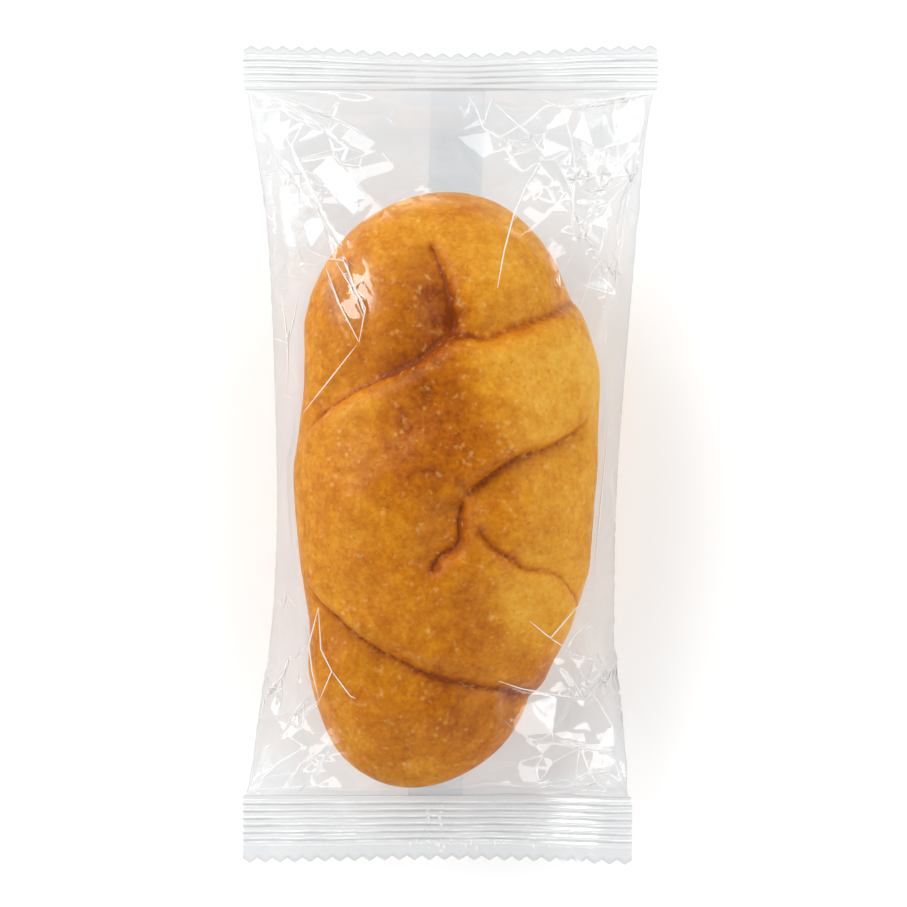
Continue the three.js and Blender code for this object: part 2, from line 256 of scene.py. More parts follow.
# %% [markdown]
# ## Lumps and dents
#
# Baked dough is never even: under its creases it has gentle lumps of some
# millimetres, and a few pits. They come from smooth noise, which is a table of
# random numbers with a fixed seed, read between its entries.

# %% Smooth noise and pits
PITS = [
    # x, y, radius, depth
    (16.1, -9.0, 2.0, 0.6), (-3.2, -7.2, 2.4, 0.7), (19.5, 15.5, 3.0, 0.35), (-12, -8, 3.4, 0.3),
    (-16, -30, 3.0, 0.3), (11, 42, 3.2, 0.35), (-19, 30, 3.4, 0.3), (20, -14, 2.6, 0.35),
]
TABLE_SIZE = 64     # entries each way of a noise table


def read_table(table, i, j, f, g):
    """The value at i + f, j + g of a table that starts again past its ends."""
    (wide, high), i1, j1 = table.shape, i + 1, j + 1
    i, j, i1, j1 = i % wide, j % high, i1 % wide, j1 % high
    return ((1 - f) * (1 - g) * table[i, j] + f * (1 - g) * table[i1, j]
            + (1 - f) * g * table[i, j1] + f * g * table[i1, j1])


def noise(u, y, size, seed):
    """Smooth noise from -1 to 1 whose lumps are about size across."""
    table = np.random.default_rng(seed).uniform(-1, 1, (TABLE_SIZE, TABLE_SIZE))
    a, b = u / size + (TABLE_SIZE + 1) / 2, y / size + (TABLE_SIZE + 1) / 2
    i, j = np.floor(a).astype(int), np.floor(b).astype(int)
    return read_table(table, i, j, smooth(0, 1, a - i), smooth(0, 1, b - j))


def lumps(u, y):
    """Small unevenness and the pits."""
    out = 0.22 * noise(u, y, 7.0, 11) + 0.12 * noise(u, y, 3.4, 12) + 0.05 * noise(u, y, 1.7, 13)
    centres = unroll([pit[:2] for pit in PITS])
    for (cu, cy), (_, _, radius, deep) in zip(centres, PITS):
        out = out - deep * np.exp(-((u - cu) ** 2 + (y - cy) ** 2) / radius**2)
    return out


# %% [markdown]
# ## The croissant's mesh
#
# Rings of points run from tip to tip, closer together on the crown, which is
# what shows, and each tip is one point. The underside lies flat on the film.
#
# Two numbers are kept at each point for the crust's colour: how brown it is,
# which is the oven's browning together with painted shade by the creases and on
# the lobes under the middle turn, and how deep it lies in a crease, which the
# crust's material turns into painted shade.

# %% Croissant
RINGS, ROUND = 268, 356
RESTS_AT = 0.45     # the croissant's flat underside, just above the film

# places seen from above that are browner (towards 1) or paler (towards 0): oven browning, with painted
# shade by the creases and under the middle turn
BROWNING_AND_SHADE = [
    # x, y, reach, how brown
    (-4, 53, 12, 0.42), (17, 46, 10, 0.28), (-22, 33, 12, 0.50), (-9, 28, 9, 0.80), (-3.5, 32, 4.5, 1.0),
    (16, 35, 9, 0.36), (-19, 11, 5, 0.28), (-26, -3, 11, 0.46), (-8, 6, 11, 0.80), (14, 18, 8, 0.30),
    (26, 19, 8, 0.06), (31, 0, 8, 0.28), (12, -14, 7, 0.52), (25, -15, 8, 0.34), (20, -30, 7, 0.20),
    (-5, -31, 11, 0.62), (-22, -28, 8, 0.50), (-28, -38, 7, 0.52), (-5, -60, 10, 0.76), (-11, -51, 7, 0.52),
    (10, -55, 8, 0.60), (-6, -72, 8, 0.46), (-24, -60, 8, 0.46),
]
FAR_WEIGHT = 0.02
TIP_BROWN = 0.45


def brownness_and_shade(x, y):
    """A blend of the browning and painted shade of the places nearby, and half brown far from all of them.
    """
    total, weight = np.full(x.shape, 0.5 * FAR_WEIGHT), np.full(x.shape, FAR_WEIGHT)
    for px, py, reach, brown_and_shade in BROWNING_AND_SHADE:
        near = np.exp(-(((x - px) ** 2 + (y - py) ** 2) / reach**2))
        total, weight = total + near * brown_and_shade, weight + near
    return total / weight


def crust_points():
    """Rings of points along the croissant, its two tips, and how deep in a slit each point is."""
    along = np.linspace(0, 1, RINGS + 2)[1:-1]
    y = (TIP_TOP + TIP_BOTTOM) / 2 + (TIP_TOP - TIP_BOTTOM) / 2 * (
        0.55 * np.cos(along * math.pi) + 0.45 * np.sin((0.5 - along) * math.pi))
    turn = np.linspace(0, 1, ROUND, endpoint=False)
    angle = (turn * 2 - 1) * math.pi + 0.55 * np.sin(turn * 2 * math.pi)
    y, angle = np.meshgrid(y, angle, indexing="ij")
    full, height, u = fullness(y), station(STATIONS, y, 3), angle * GIRTH_RADIUS
    ragged = 0.3 * noise(u, y, 3.4, 21) + 0.16 * noise(u, y, 1.3, 22)
    folds, slit = relief(u + ragged, y + ragged)
    out = full * ((1 - SIDE_FLATTENING * np.sin(angle) ** 2) * folds
                  + np.cos(angle / 2) * (swelling(u, y) + lumps(u, y)))
    equator = height * EQUATOR
    up = np.where(np.cos(angle) >= 0, height - equator, equator * UNDER_FULLNESS)
    x = station(STATIONS, y, 1) + (station(STATIONS, y, 2) * full + out) * signed_power(
        np.sin(angle), 2 / SQUARENESS)
    z = equator + (up * full + out) * signed_power(np.cos(angle), 2 / SQUARENESS)
    z = np.where(z < RESTS_AT, RESTS_AT, z)
    points = np.stack([x, y, z], -1)
    tips = [[station(STATIONS, tip, 1), tip, station(STATIONS, tip, 3) * EQUATOR]
            for tip in (TIP_TOP, TIP_BOTTOM)]
    return points, np.array(tips, float), slit


def ring_faces(rings, around, first=0):
    """Quads between closed rings of points, as rows of four numbers."""
    r, a = np.meshgrid(np.arange(rings - 1), np.arange(around), indexing="ij")
    b = (a + 1) % around
    quads = [r * around + a, r * around + b, (r + 1) * around + b, (r + 1) * around + a]
    return np.stack(quads, -1).reshape(-1, 4) + first


def volume(mesh):
    """The volume in mm³ inside a closed mesh, below zero where its faces look inwards."""
    mesh.calc_loop_triangles()
    places, corners = np.empty(len(mesh.vertices) * 3), np.empty(len(mesh.loop_triangles) * 3, int)
    mesh.vertices.foreach_get("co", places)
    mesh.loop_triangles.foreach_get("vertices", corners)
    a, b, c = places.reshape(-1, 3)[corners.reshape(-1, 3)].transpose(1, 0, 2) / MM
    return float((a * np.cross(b, c)).sum() / 6)


def make_mesh(name, points, faces, smooth_faces=True, closed=True):
    """A piece from points in millimetres and faces, at the origin. A closed one gets its faces outward."""
    mesh = bpy.data.meshes.new(name)
    mesh.from_pydata((np.asarray(points) * MM).tolist(), [], [list(map(int, face)) for face in faces])
    mesh.validate()
    if closed and volume(mesh) < 0:
        mesh.flip_normals()
    if smooth_faces:
        mesh.shade_smooth()
    piece = bpy.data.objects.new(name, mesh)
    scene.collection.objects.link(piece)
    return piece


def keep_value(piece, name, values):
    """Keeps one number at each point of a piece, for its material."""
    layer = piece.data.attributes.new(name, "FLOAT", "POINT")
    layer.data.foreach_set("value", np.asarray(values, np.float32).ravel())


points, tips, slit = crust_points()
body = points.reshape(-1, 3)
faces = [list(face) for face in ring_faces(RINGS, ROUND)]
for tip, start in ((len(body), 0), (len(body) + 1, (RINGS - 1) * ROUND)):
    for a in range(ROUND):
        b = (a + 1) % ROUND
        faces.append([tip, start + b, start + a] if start == 0 else [tip, start + a, start + b])
croissant = make_mesh("croissant", np.vstack([body, tips]), faces)
# browning with painted shade, and the slits, which the crust's material also darkens as painted shade
brown_and_shade = brownness_and_shade(points[..., 0], points[..., 1]).ravel()
keep_value(croissant, "brown_and_shade", np.append(brown_and_shade, [TIP_BROWN] * 2))
keep_value(croissant, "crease", np.append(slit.ravel(), [0, 0]))
print("croissant:", len(croissant.data.polygons), "faces,",
      [round(v / MM, 1) for v in croissant.dimensions], "mm")

# %% [markdown]
# ## Draping the film
#
# The bag is a tube of film, sealed flat at both ends. The croissant props it
# open, so the film is drawn tight from the crown to the corners of the seals
# and lies in folds between. Those folds make every highlight, so the film is
# draped rather than drawn.
#
# Blender's Cloth could do it. This is a smaller solver for one tube, which
# holds its points at their distances from each other: film hardly stretches
# but buckles at once. The tube starts as a loose pillow, and each step moves it
# by its own speed, puts the distances right, stiffens it a little, pushes it
# off the croissant and the table, and keeps its two sheets apart.
#
# The upper sheet gets two thirds of the points, because it is what shows.

# %% Where the seals are
TOP_SEAL = dict(left=-46.1, right=46.1, inner=80.6, outer=89.7, lift=9.0, sag=1.2, ripple=1.0, waves=9.0,
                phase=0.0, curl=0.0, dip=1.5, ridges=5, pitch=1.55)
BOTTOM_SEAL = dict(left=-46.1, right=40.1, inner=-75.6, outer=-89.7, lift=11.0, sag=0.0, ripple=0.6,
                   waves=7.0, phase=1.0, curl=5.0, dip=0.5, ridges=7, pitch=1.6)
CURL_START = 0.72       # share of a seal's width from which its right corner curls up
PILLOW = np.array([
    # y, left, right, height of the side folds, crown, belly, arch
    (81, -45.6, 45.6, 9.0, 0.2, 0.2, 0.9), (79, -45.4, 45.2, 9.0, 2.0, 1.5, 0.95),
    (73, -44.9, 44.1, 8.6, 8.0, 5.4, 0.9), (61, -42.4, 42.9, 8.0, 15, 8.0, 0.75),
    (50, -41.0, 41.8, 8.0, 22, 9.5, 0.65), (36, -40.2, 40.6, 8.0, 27, 9.5, 0.6),
    (14, -39.4, 38.9, 8.0, 31, 9.5, 0.55), (-9, -38.9, 37.3, 8.0, 32, 9.5, 0.55),
    (-30, -39.4, 36.8, 8.0, 30, 9.5, 0.56), (-43, -40.6, 36.6, 8.5, 26, 10, 0.6),
    (-51, -41.6, 36.9, 9.0, 23, 10, 0.65), (-60, -42.8, 37.9, 9.8, 18, 10.5, 0.75),
    (-68.5, -44.3, 39.3, 10.6, 10, 9, 0.85), (-74.5, -45.2, 39.8, 11.0, 2, 2, 0.95),
    (-76, -45.4, 39.9, 11.0, 0.2, 0.2, 0.9),
], float)
BELLY_ARCH = 0.45                    # the lower sheet's arch, as the last column is the upper one's
SEAM_START, SEAM_END = -76.0, 81.0   # where the tube of film meets the two seals


def seal_height(seal, share):
    """Height of a seal's middle, share from 0 at its left to 1 at its right."""
    return (seal["lift"] + seal["ripple"] * np.sin(seal["waves"] * share + seal["phase"])
            - seal["sag"] * np.sin(math.pi * share) ** 2 + seal["curl"] * smooth(CURL_START, 1, share))


# %% The film tube and its solver
TABLE = 0.25          # height at which the film lies on the table
FILM_GAP = 0.25       # between the crust and the film
SLACK = 1.01          # how much wider the film is than the pillow it starts from
TUBE_LENGTH = 168.0   # of film between the seals
SEAL_INSET = 0.2      # the tube is this much narrower on each side than the seal that it meets
SHEET_GAP = 0.05      # of each sheet from the middle of a seal
SHEETS_APART = 0.12   # the upper sheet stays at least this high over the lower one
DAMPING = 0.93        # share of its speed that the film keeps from step to step
GRIP = 0.3            # the same where it touches the crust, besides
TOP_SPEED = 1.5
FAR = 99              # a distance that stands for no crust nearby

# a table of the crust's relief over angle and y, to look values up quickly
LOOK_A, LOOK_Y = 256, 320
LAST = 1.001          # a place that is looked up stays this far from the table's end
look_angle, look_y = np.meshgrid(np.linspace(-math.pi, math.pi, LOOK_A),
                                 np.linspace(TIP_BOTTOM, TIP_TOP, LOOK_Y), indexing="ij")
RELIEF = ((1 - SIDE_FLATTENING * np.sin(look_angle) ** 2) * relief(look_angle * GIRTH_RADIUS, look_y)[0]
          + np.cos(look_angle / 2) * swelling(look_angle * GIRTH_RADIUS, look_y))


def above_crust(p):
    """Each point's distance above the crust, and the direction away from it."""
    x, y, z = p[..., 0], p[..., 1], p[..., 2]
    tip, end = towards_tip(y)
    half, height, centre = (station(STATIONS, y, column) for column in (2, 3, 1))
    equator = height * EQUATOR
    rise = np.where(z > equator, height - equator, equator * UNDER_FULLNESS)
    across, up = (x - centre) / half, (z - equator) / rise
    radius = np.maximum(1e-6, (np.abs(across) ** SQUARENESS + np.abs(up) ** SQUARENESS) ** (1 / SQUARENESS))
    sine, cosine = signed_power(across / radius, SQUARENESS / 2), signed_power(up / radius, SQUARENESS / 2)
    a = np.clip((np.arctan2(sine, cosine) + math.pi) / (2 * math.pi) * (LOOK_A - 1), 0, LOOK_A - LAST)
    b = np.clip((y - TIP_BOTTOM) / (TIP_TOP - TIP_BOTTOM) * (LOOK_Y - 1), 0, LOOK_Y - LAST)
    i, j = a.astype(int), b.astype(int)
    out = read_table(RELIEF, i, j, a - i, b - j)
    away = np.stack([2 * radius * signed_power(across / radius, SQUARENESS - 1) / half,
                     2 * tip * end / np.where(end > 0, ROUND_TOP, ROUND_BOTTOM),
                     2 * radius * signed_power(up / radius, SQUARENESS - 1) / rise], -1)
    steep = np.linalg.norm(away, axis=-1) + 1e-9
    distance = (radius**2 + tip**2 - 1) / steep - out * np.sqrt(np.maximum(0, 1 - tip**2))
    return np.where(tip > 1.2, FAR, distance), away / steep[..., None]


def underside(p):
    """The height that the lower sheet stays below: the croissant's underside, and far up beside it."""
    tip, _ = towards_tip(p[..., 1])
    full = np.sqrt(np.maximum(0, 1 - tip**2))
    half, height, centre = (station(STATIONS, p[..., 1], column) for column in (2, 3, 1))
    across = np.abs(p[..., 0] - centre) / np.maximum(half * full, 0.001)
    drop = UNDER_FULLNESS * full * np.maximum(0, 1 - across**SQUARENESS) ** (1 / SQUARENESS)
    return np.where(across < 1, np.maximum(TABLE, height * EQUATOR * (1 - drop) - FILM_GAP), FAR)


def run_along(*coordinates):
    """How far along its line each point is."""
    return np.concatenate([[0], np.cumsum(np.hypot(*(np.diff(c) for c in coordinates)))])


class Tube:
    """A closed tube of film. Its ring is 2 m points over the top and m underneath."""

    def __init__(self, m, rows, length):
        self.m, self.rows, self.length = m, rows, length
        self.ring = 3 * m
        i = np.arange(self.ring)
        self.under = i > 2 * m
        self.share = np.where(i <= 2 * m, i / (2 * m), (3 * m - i) / m)
        self.across = np.zeros((self.ring, rows))
        self.start = self.pillow()
        self.lengthwise = np.full((self.ring + 1, rows - 1), length / (rows - 1))

    def pillow(self):
        """The loose starting shape, which also says how wide the film is."""
        y = np.linspace(SEAM_START, SEAM_END, self.rows)
        p = np.zeros((self.ring, self.rows, 3))
        t = np.linspace(-math.pi / 2, math.pi / 2, 200)
        for row in range(self.rows):
            left, right, edge, crown, belly, arch = [station(PILLOW, y[row], k) for k in range(1, 7)]
            lens_shape = np.maximum(0, 1 - np.sin(t) ** 2)
            x = (left + right) / 2 + (right - left) / 2 * np.sin(t)
            over = edge + crown * lens_shape**arch
            below = np.maximum(TABLE, edge - belly * lens_shape**BELLY_ARCH)
            for z, mask, links in ((over, ~self.under, slice(0, 2 * self.m)),
                                   (below, self.under, slice(2 * self.m, None))):
                run = run_along(x, z)
                self.across[links, row] = SLACK * run[-1] / (links.indices(self.ring)[1] - links.start)
                p[mask, row, 0] = np.interp(self.share[mask], run / run[-1], x)
                p[mask, row, 2] = np.interp(self.share[mask], run / run[-1], z)
            p[:, row, 1] = y[row]
        return p

    def hold_ends(self, p):
        """Puts the tube's two ends back in the seals."""
        for row, seal, y in ((0, BOTTOM_SEAL, SEAM_START), (-1, TOP_SEAL, SEAM_END)):
            p[:, row, 0] = (seal["left"] + SEAL_INSET
                            + (seal["right"] - seal["left"] - 2 * SEAL_INSET) * self.share)
            p[:, row, 1] = y
            p[:, row, 2] = seal_height(seal, self.share) + np.where(self.under, -SHEET_GAP, SHEET_GAP)


def pull(p, a, b, rest, slack):
    """Brings the points of two slices back to their distance apart. Slack below 1 lets film bunch."""
    d = p[b] - p[a]
    distance = np.sqrt(np.einsum("...k,...k->...", d, d)) + 1e-9
    c = (distance - rest) / distance
    d *= (np.where(c < 0, c * slack, c) * 0.5)[..., None]
    p[a] += d
    p[b] -= d


def outward_direction(p):
    """The unit direction out of the tube at each of its points."""
    around = np.roll(p, -1, 0) - np.roll(p, 1, 0)
    normal = np.cross(around, np.gradient(p, axis=1))
    return normal / (np.linalg.norm(normal, axis=-1, keepdims=True) + 1e-9)


def drape(tube, p, steps, weight, pressure, bend, slack, guide):
    """Lets the film settle over the croissant, in so many steps."""
    n, rows, m = tube.ring, tube.rows, tube.m
    p = np.concatenate([p, p[:1]], 0)      # the first line of points again, to close the tube
    speed = np.zeros_like(p)
    rest_across = tube.across
    rest_slant = np.sqrt(((rest_across[:, 1:] + rest_across[:, :-1]) / 2) ** 2
                         + (tube.length / (rows - 1)) ** 2)
    left_share = rest_across[:, :1] / (rest_across[:, :1] + np.roll(rest_across[:, :1], 1, 0))
    full, first_rows, last_rows = slice(None), slice(0, rows - 1), slice(1, rows)
    for _ in range(steps):
        before = p.copy()
        speed *= DAMPING
        speed[..., 2] -= weight
        speed[:-1] += outward_direction(p[:-1]) * pressure
        p = p + speed
        p[-1] = p[0]
        for _ in range(2):
            for odd in (0, 1):
                a, b = slice(odd, odd + n, 2), slice(odd + 1, odd + n, 2)
                for rows_a, rows_b, rests in ((full, full, rest_across),
                                              (first_rows, last_rows, rest_slant),
                                              (last_rows, first_rows, rest_slant)):
                    pull(p, (a, rows_a), (b, rows_b), rests[a], slack)
                    p[-1 if odd == 0 else 0] = p[0 if odd == 0 else -1]
            for odd in (0, 1):
                count = (rows - odd) // 2
                a, b = slice(odd, odd + 2 * count - 1, 2), slice(odd + 1, odd + 2 * count, 2)
                pull(p, (full, a), (full, b), tube.lengthwise[:, odd:odd + 2 * count - 1:2], slack)
            q = p[:-1]
            middle = (np.roll(q, 1, 0) * (1 - left_share[..., None])
                      + np.roll(q, -1, 0) * left_share[..., None])
            q += bend * 0.5 * (middle - q)
            q[:, 1:-1] += bend * 0.5 * (0.5 * (q[:, 2:] + q[:, :-2]) - q[:, 1:-1])
            tube.hold_ends(q)
            p[-1] = p[0]
        for line, column in ((0, 1), (2 * m, 2)):
            y = np.clip(p[line, :, 1], SEAM_START, SEAM_END)
            p[line, 1:-1, 0] += guide * (station(PILLOW, y, column) - p[line, :, 0])[1:-1]
            p[line, 1:-1, 2] += 0.3 * guide * (station(PILLOW, y, 3) - p[line, :, 2])[1:-1]
        distance, away = above_crust(p[:-1])
        ceiling = underside(p[:-1])
        push = np.maximum(0, FILM_GAP - distance)
        push[tube.under] = np.where(ceiling[tube.under] > TABLE, push[tube.under], 0)
        p[:-1] += away * push[..., None]
        p[:-1, :, 2][tube.under] = np.minimum(p[:-1, :, 2], ceiling)[tube.under]
        p[..., 2] = np.maximum(p[..., 2], TABLE)
        top, low = p[1:2 * m], p[n:2 * m - 1:-1]         # low runs the same way, with half the points
        low_height = np.interp(np.arange(1, 2 * m), np.arange(0, 2 * m + 1, 2), np.arange(m + 1))
        k = np.minimum(low_height.astype(int), m - 1)
        f = (low_height - k)[:, None]
        lower = low[k, :, 2] * (1 - f) + low[k + 1, :, 2] * f
        top[..., 2] = np.maximum(top[..., 2], lower + SHEETS_APART)
        tube.hold_ends(p[:-1])
        p[-1] = p[0]
        speed = p - before
        speed[:-1][push > 0] *= GRIP
        speed = np.clip(speed, -TOP_SPEED, TOP_SPEED)
    return p[:-1]


def finer(p, m, rows):
    """The same shape with more points, by smooth cubic steps round and along it."""
    def cubic(values, at, axis, closed):
        i, size = np.floor(at).astype(int), values.shape[axis]
        f = (at - i).reshape([-1 if k == axis else 1 for k in range(values.ndim)])
        return curve(*(np.take(values, (i + k) % size if closed else np.clip(i + k, 0, size - 1), axis=axis)
                       for k in (-1, 0, 1, 2)), f)

    p = cubic(p, np.arange(3 * m) * p.shape[0] / (3 * m), 0, True)
    return cubic(p, np.linspace(0, p.shape[1] - 1, rows), 1, False)


# %% Drape it, roughly and then finely
started = time.time()
dice = np.random.default_rng(5)
rough = Tube(50, 160, TUBE_LENGTH)
shape = drape(rough, rough.start + dice.normal(0, 0.05, rough.start.shape), 260,
              weight=0.001, pressure=0.0012, bend=0.2, slack=0.8, guide=0.3)
tube = Tube(100, 320, TUBE_LENGTH)
shape = finer(shape, tube.m, tube.rows)
shape = drape(tube, shape + dice.normal(0, 0.02, shape.shape), 160,
              weight=0.0005, pressure=0.0006, bend=0.12, slack=1.0, guide=0.15)
print("draped in", round(time.time() - started, 1), "s, the film is",
      round(float(shape[..., 2].max()), 1), "mm high")

# %% [markdown]
# ## Folds and crumples
#
# Film keeps the sharp folds that handling gave it, and those are the white
# lines and facets in any picture of a bag. A drape alone can't know them, so
# they are pressed in afterwards. The free film is rebuilt of flat facets: a few
# hundred sites are picked on it, the crests of the folds among them, joined by
# triangles whose edges must follow each crest, and every point of the film
# moves to the facet that it lies under. The main folds are placed one by one,
# and small seeded ones crumple the places that were gripped. Where the film
# lies against the crust it stays smooth.

# %% Folds
FOLDS = [
    # how high the crest stands, and its line seen from above
    (0.9, [(-42.9, 80.0), (-36.9, 77.6), (-29.2, 72.7), (-23.7, 67.8), (-19.5, 66.0)]),
    (0.5, [(-19.4, 65.7), (-20.1, 62.9), (-17.7, 60.5)]),
    (0.35, [(-38.7, 79.6), (-34.5, 78.0), (-28.5, 75.3), (-22.6, 72.7), (-16.6, 68.7)]),
    (0.4, [(-15.2, 66.4), (-13.7, 64.4), (-12.4, 62.2)]),
    (1.1, [(-37.9, 73.0), (-33.5, 64.6), (-28.9, 55.0), (-26.0, 49.1), (-23.6, 45.5)]),
    (0.6, [(-43.8, 79.0), (-40.5, 71.6), (-36.3, 63.2), (-33.2, 57.2), (-32.1, 54.1)]),
    (0.5, [(3.9, 79.6), (5.6, 76.7), (7.4, 71.8), (12.7, 68.3), (16.4, 66.5)]),
    (0.4, [(9.2, 79.0), (8.1, 75.7), (7.4, 72.7)]),
    (0.5, [(9.1, 78.4), (17.5, 70.1), (21.0, 65.2)]),
    (0.7, [(20.0, 78.6), (22.6, 77.3), (25.3, 76.2)]),
    (0.8, [(25.3, 76.4), (34.2, 78.2), (45.0, 79.8)]),
    (0.6, [(25.0, 75.6), (27.0, 68.3), (27.6, 61.3), (26.5, 49.8)]),
    (0.6, [(19.2, 64.6), (23.4, 64.6), (26.9, 57.4), (26.9, 49.7)]),
    (0.5, [(19.7, 64.2), (16.7, 58.8), (13.9, 52.4), (11.7, 44.1), (10.2, 35.9)]),
    (0.5, [(27.6, 67.7), (31.1, 61.3), (28.7, 58.9)]),
    (0.5, [(39.5, 69.0), (32.9, 67.2), (29.4, 61.3)]),
    (0.6, [(41.3, 62.4), (36.6, 57.1), (30.7, 50.5)]),
    (0.4, [(29.4, 58.4), (34.9, 58.2), (41.9, 62.4)]),
    (0.7, [(24.0, 48.6), (30.6, 46.9), (33.5, 39.6)]),
    (0.5, [(39.6, 61.4), (37.4, 45.8), (35.4, 33.8)]),
    (0.5, [(44.0, 78.6), (41.8, 69.1), (40.2, 61.4)]),
    (0.5, [(-27.2, 40.5), (-24.1, 32.4), (-19.8, 24.1)]),
    (0.5, [(-26.3, 42.7), (-23.0, 41.8), (-20.6, 35.7), (-18.4, 31.4), (-19.8, 24.1)]),
    (0.3, [(-25.0, 41.8), (-21.9, 36.8), (-19.5, 30.9)]),
    (0.45, [(-20.4, 23.4), (-26.3, 16.0), (-32.1, 9.0)]),
    (0.5, [(-37.4, 36.1), (-35.8, 23.9), (-36.0, 12.9)]),
    (0.4, [(-33.2, 36.1), (-34.5, 29.4), (-35.8, 23.9)]),
    (0.6, [(-28.8, -33.6), (-31.0, -41.9), (-30.3, -47.9), (-28.8, -54.2)]),
    (0.5, [(-28.8, -33.6), (-28.3, -43.0), (-25.9, -47.6), (-28.8, -54.2)]),
    (0.5, [(-25.9, -47.6), (-21.8, -53.1), (-20.7, -53.5)]),
    (0.5, [(-35.6, -45.1), (-36.7, -48.6), (-40.6, -53.5), (-41.2, -57.4)]),
    (0.6, [(-32.1, -54.6), (-32.5, -59.9), (-35.4, -62.7)]),
    (0.7, [(-32.1, -64.7), (-39.1, -69.3), (-42.3, -73.0), (-43.6, -74.8)]),
    (0.5, [(19.5, -63.4), (26.1, -64.1), (36.3, -66.5), (38.1, -73.3)]),
    (0.45, [(10.6, -49.6), (15.5, -51.4), (29.5, -54.2)]),
    (0.7, [(26.0, -48.4), (29.5, -54.3), (34.4, -48.4)]),
    (0.5, [(17.2, -36.4), (21.8, -40.3), (27.7, -33.5), (30.1, -32.9)]),
    (0.4, [(21.8, -40.3), (24.8, -42.3)]),
    (0.5, [(30.9, -36.5), (26.7, -40.3), (24.3, -44.9)]),
    (0.5, [(26.7, -44.2), (32.6, -45.5)]),
    (0.5, [(35.0, 8.5), (33.5, -5.8), (32.2, -19.0), (31.5, -30.0)]),
    (0.4, [(32.5, -1.4), (31.2, -16.8), (30.6, -24.4)]),
    (0.5, [(-45.0, -74.6), (-31.6, -73.6), (-23.1, -74.3), (-13.6, -74.4)]),
    (0.5, [(-4.8, -74.4), (3.7, -73.6), (7.9, -72.8), (17.8, -73.6), (27.4, -71.8)]),
]
GRIPPED = [
    # where handling crumpled the film: x, y, reach, main direction in degrees and spread, how many
    (36, 62, 9, 60, 60, 9), (30, 42, 8, 110, 50, 5), (-36, 60, 9, 120, 35, 5), (-38, -52, 8, 80, 60, 8),
    (-34, -66, 8, 40, 50, 4), (33, -50, 7, 90, 70, 10), (24, -66, 12, 160, 30, 4),
    (-20, -70, 12, 10, 30, 4),
]
CORNERS = [(-45, 80), (45, 80), (-45, -75), (39, -75)]      # of the seals, which pull the film tight
PULLED_FOLDS = 150
HALF_WIDTH, LOWEST, HIGHEST = 44, -74, 79   # of the film in which they lie
UP_OR_DOWN = [1, 1, -1]                     # two folds in three stand up


def small_folds():
    """Short seeded folds: a few round each gripped place, and many that point to a corner of a seal."""
    dice = np.random.default_rng(31)
    folds = []

    def fold(middle, angle, half_length, high):
        half = half_length * np.array([math.cos(angle), math.sin(angle)])
        bend = dice.normal(0, 0.06 * half_length, 2)
        folds.append((high, [tuple(middle - half), tuple(middle + bend), tuple(middle + half)]))

    for x, y, reach, turn, spread, count in GRIPPED:
        for _ in range(count):
            fold(np.array([x, y]) + dice.normal(0, reach / 2, 2),
                 math.radians(turn + dice.normal(0, spread / 2)),
                 dice.uniform(2.0, 6.5), dice.uniform(0.2, 0.7) * dice.choice(UP_OR_DOWN))
    for _ in range(PULLED_FOLDS):
        side = dice.choice([-1, 1])         # most of them near the side folds
        middle = np.array([side * HALF_WIDTH * (1 - dice.uniform(0, 1) ** 1.7 * 0.75),
                           dice.uniform(LOWEST, HIGHEST)])
        corner = min(CORNERS, key=lambda c: (middle[0] * c[0] < 0, abs(middle[1] - c[1])))
        towards = np.array(corner) - middle
        angle = math.atan2(towards[1], towards[0]) + dice.normal(0, 0.1)
        fold(middle, angle, min(dice.uniform(4.0, 14.0), 0.8 * np.hypot(*towards)),
             dice.uniform(0.2, 0.6) * dice.choice(UP_OR_DOWN))
    return folds


def places_on(line, count):
    """Evenly spaced places on a line, count(length) of them, and how far along it each is."""
    line = np.asarray(line, float)
    run = run_along(*line.T)
    at = np.linspace(0, run[-1], count(run[-1]))
    return np.stack([np.interp(at, run, line[:, k]) for k in (0, 1)], 1), at


def sites_along(fold, xy):
    """Sites every 3 mm along a fold, as the sheet's nearest points, and how far each is lifted."""
    high, line = fold
    spots, at = places_on(line, lambda length: max(2, round(length / 3) + 1))
    nearest = [int(np.argmin(((xy - spot) ** 2).sum(1))) for spot in spots]
    taper = np.minimum(1, np.minimum(at, at[-1] - at) / (0.2 * at[-1]) + 0.25)
    return nearest, high * taper


BAG_WIDTH = 92.0            # flat, which gives the sheet's pitch across
KEPT_FREE = 2.2             # no scattered site lies this near another one
EDGE_STEP = 12              # points from each site on the sheet's edges to the next
FIRST_SIDE_SITE, LAST_SIDE_SITE = 8, 4      # how far from the two ends those on the sides start and stop


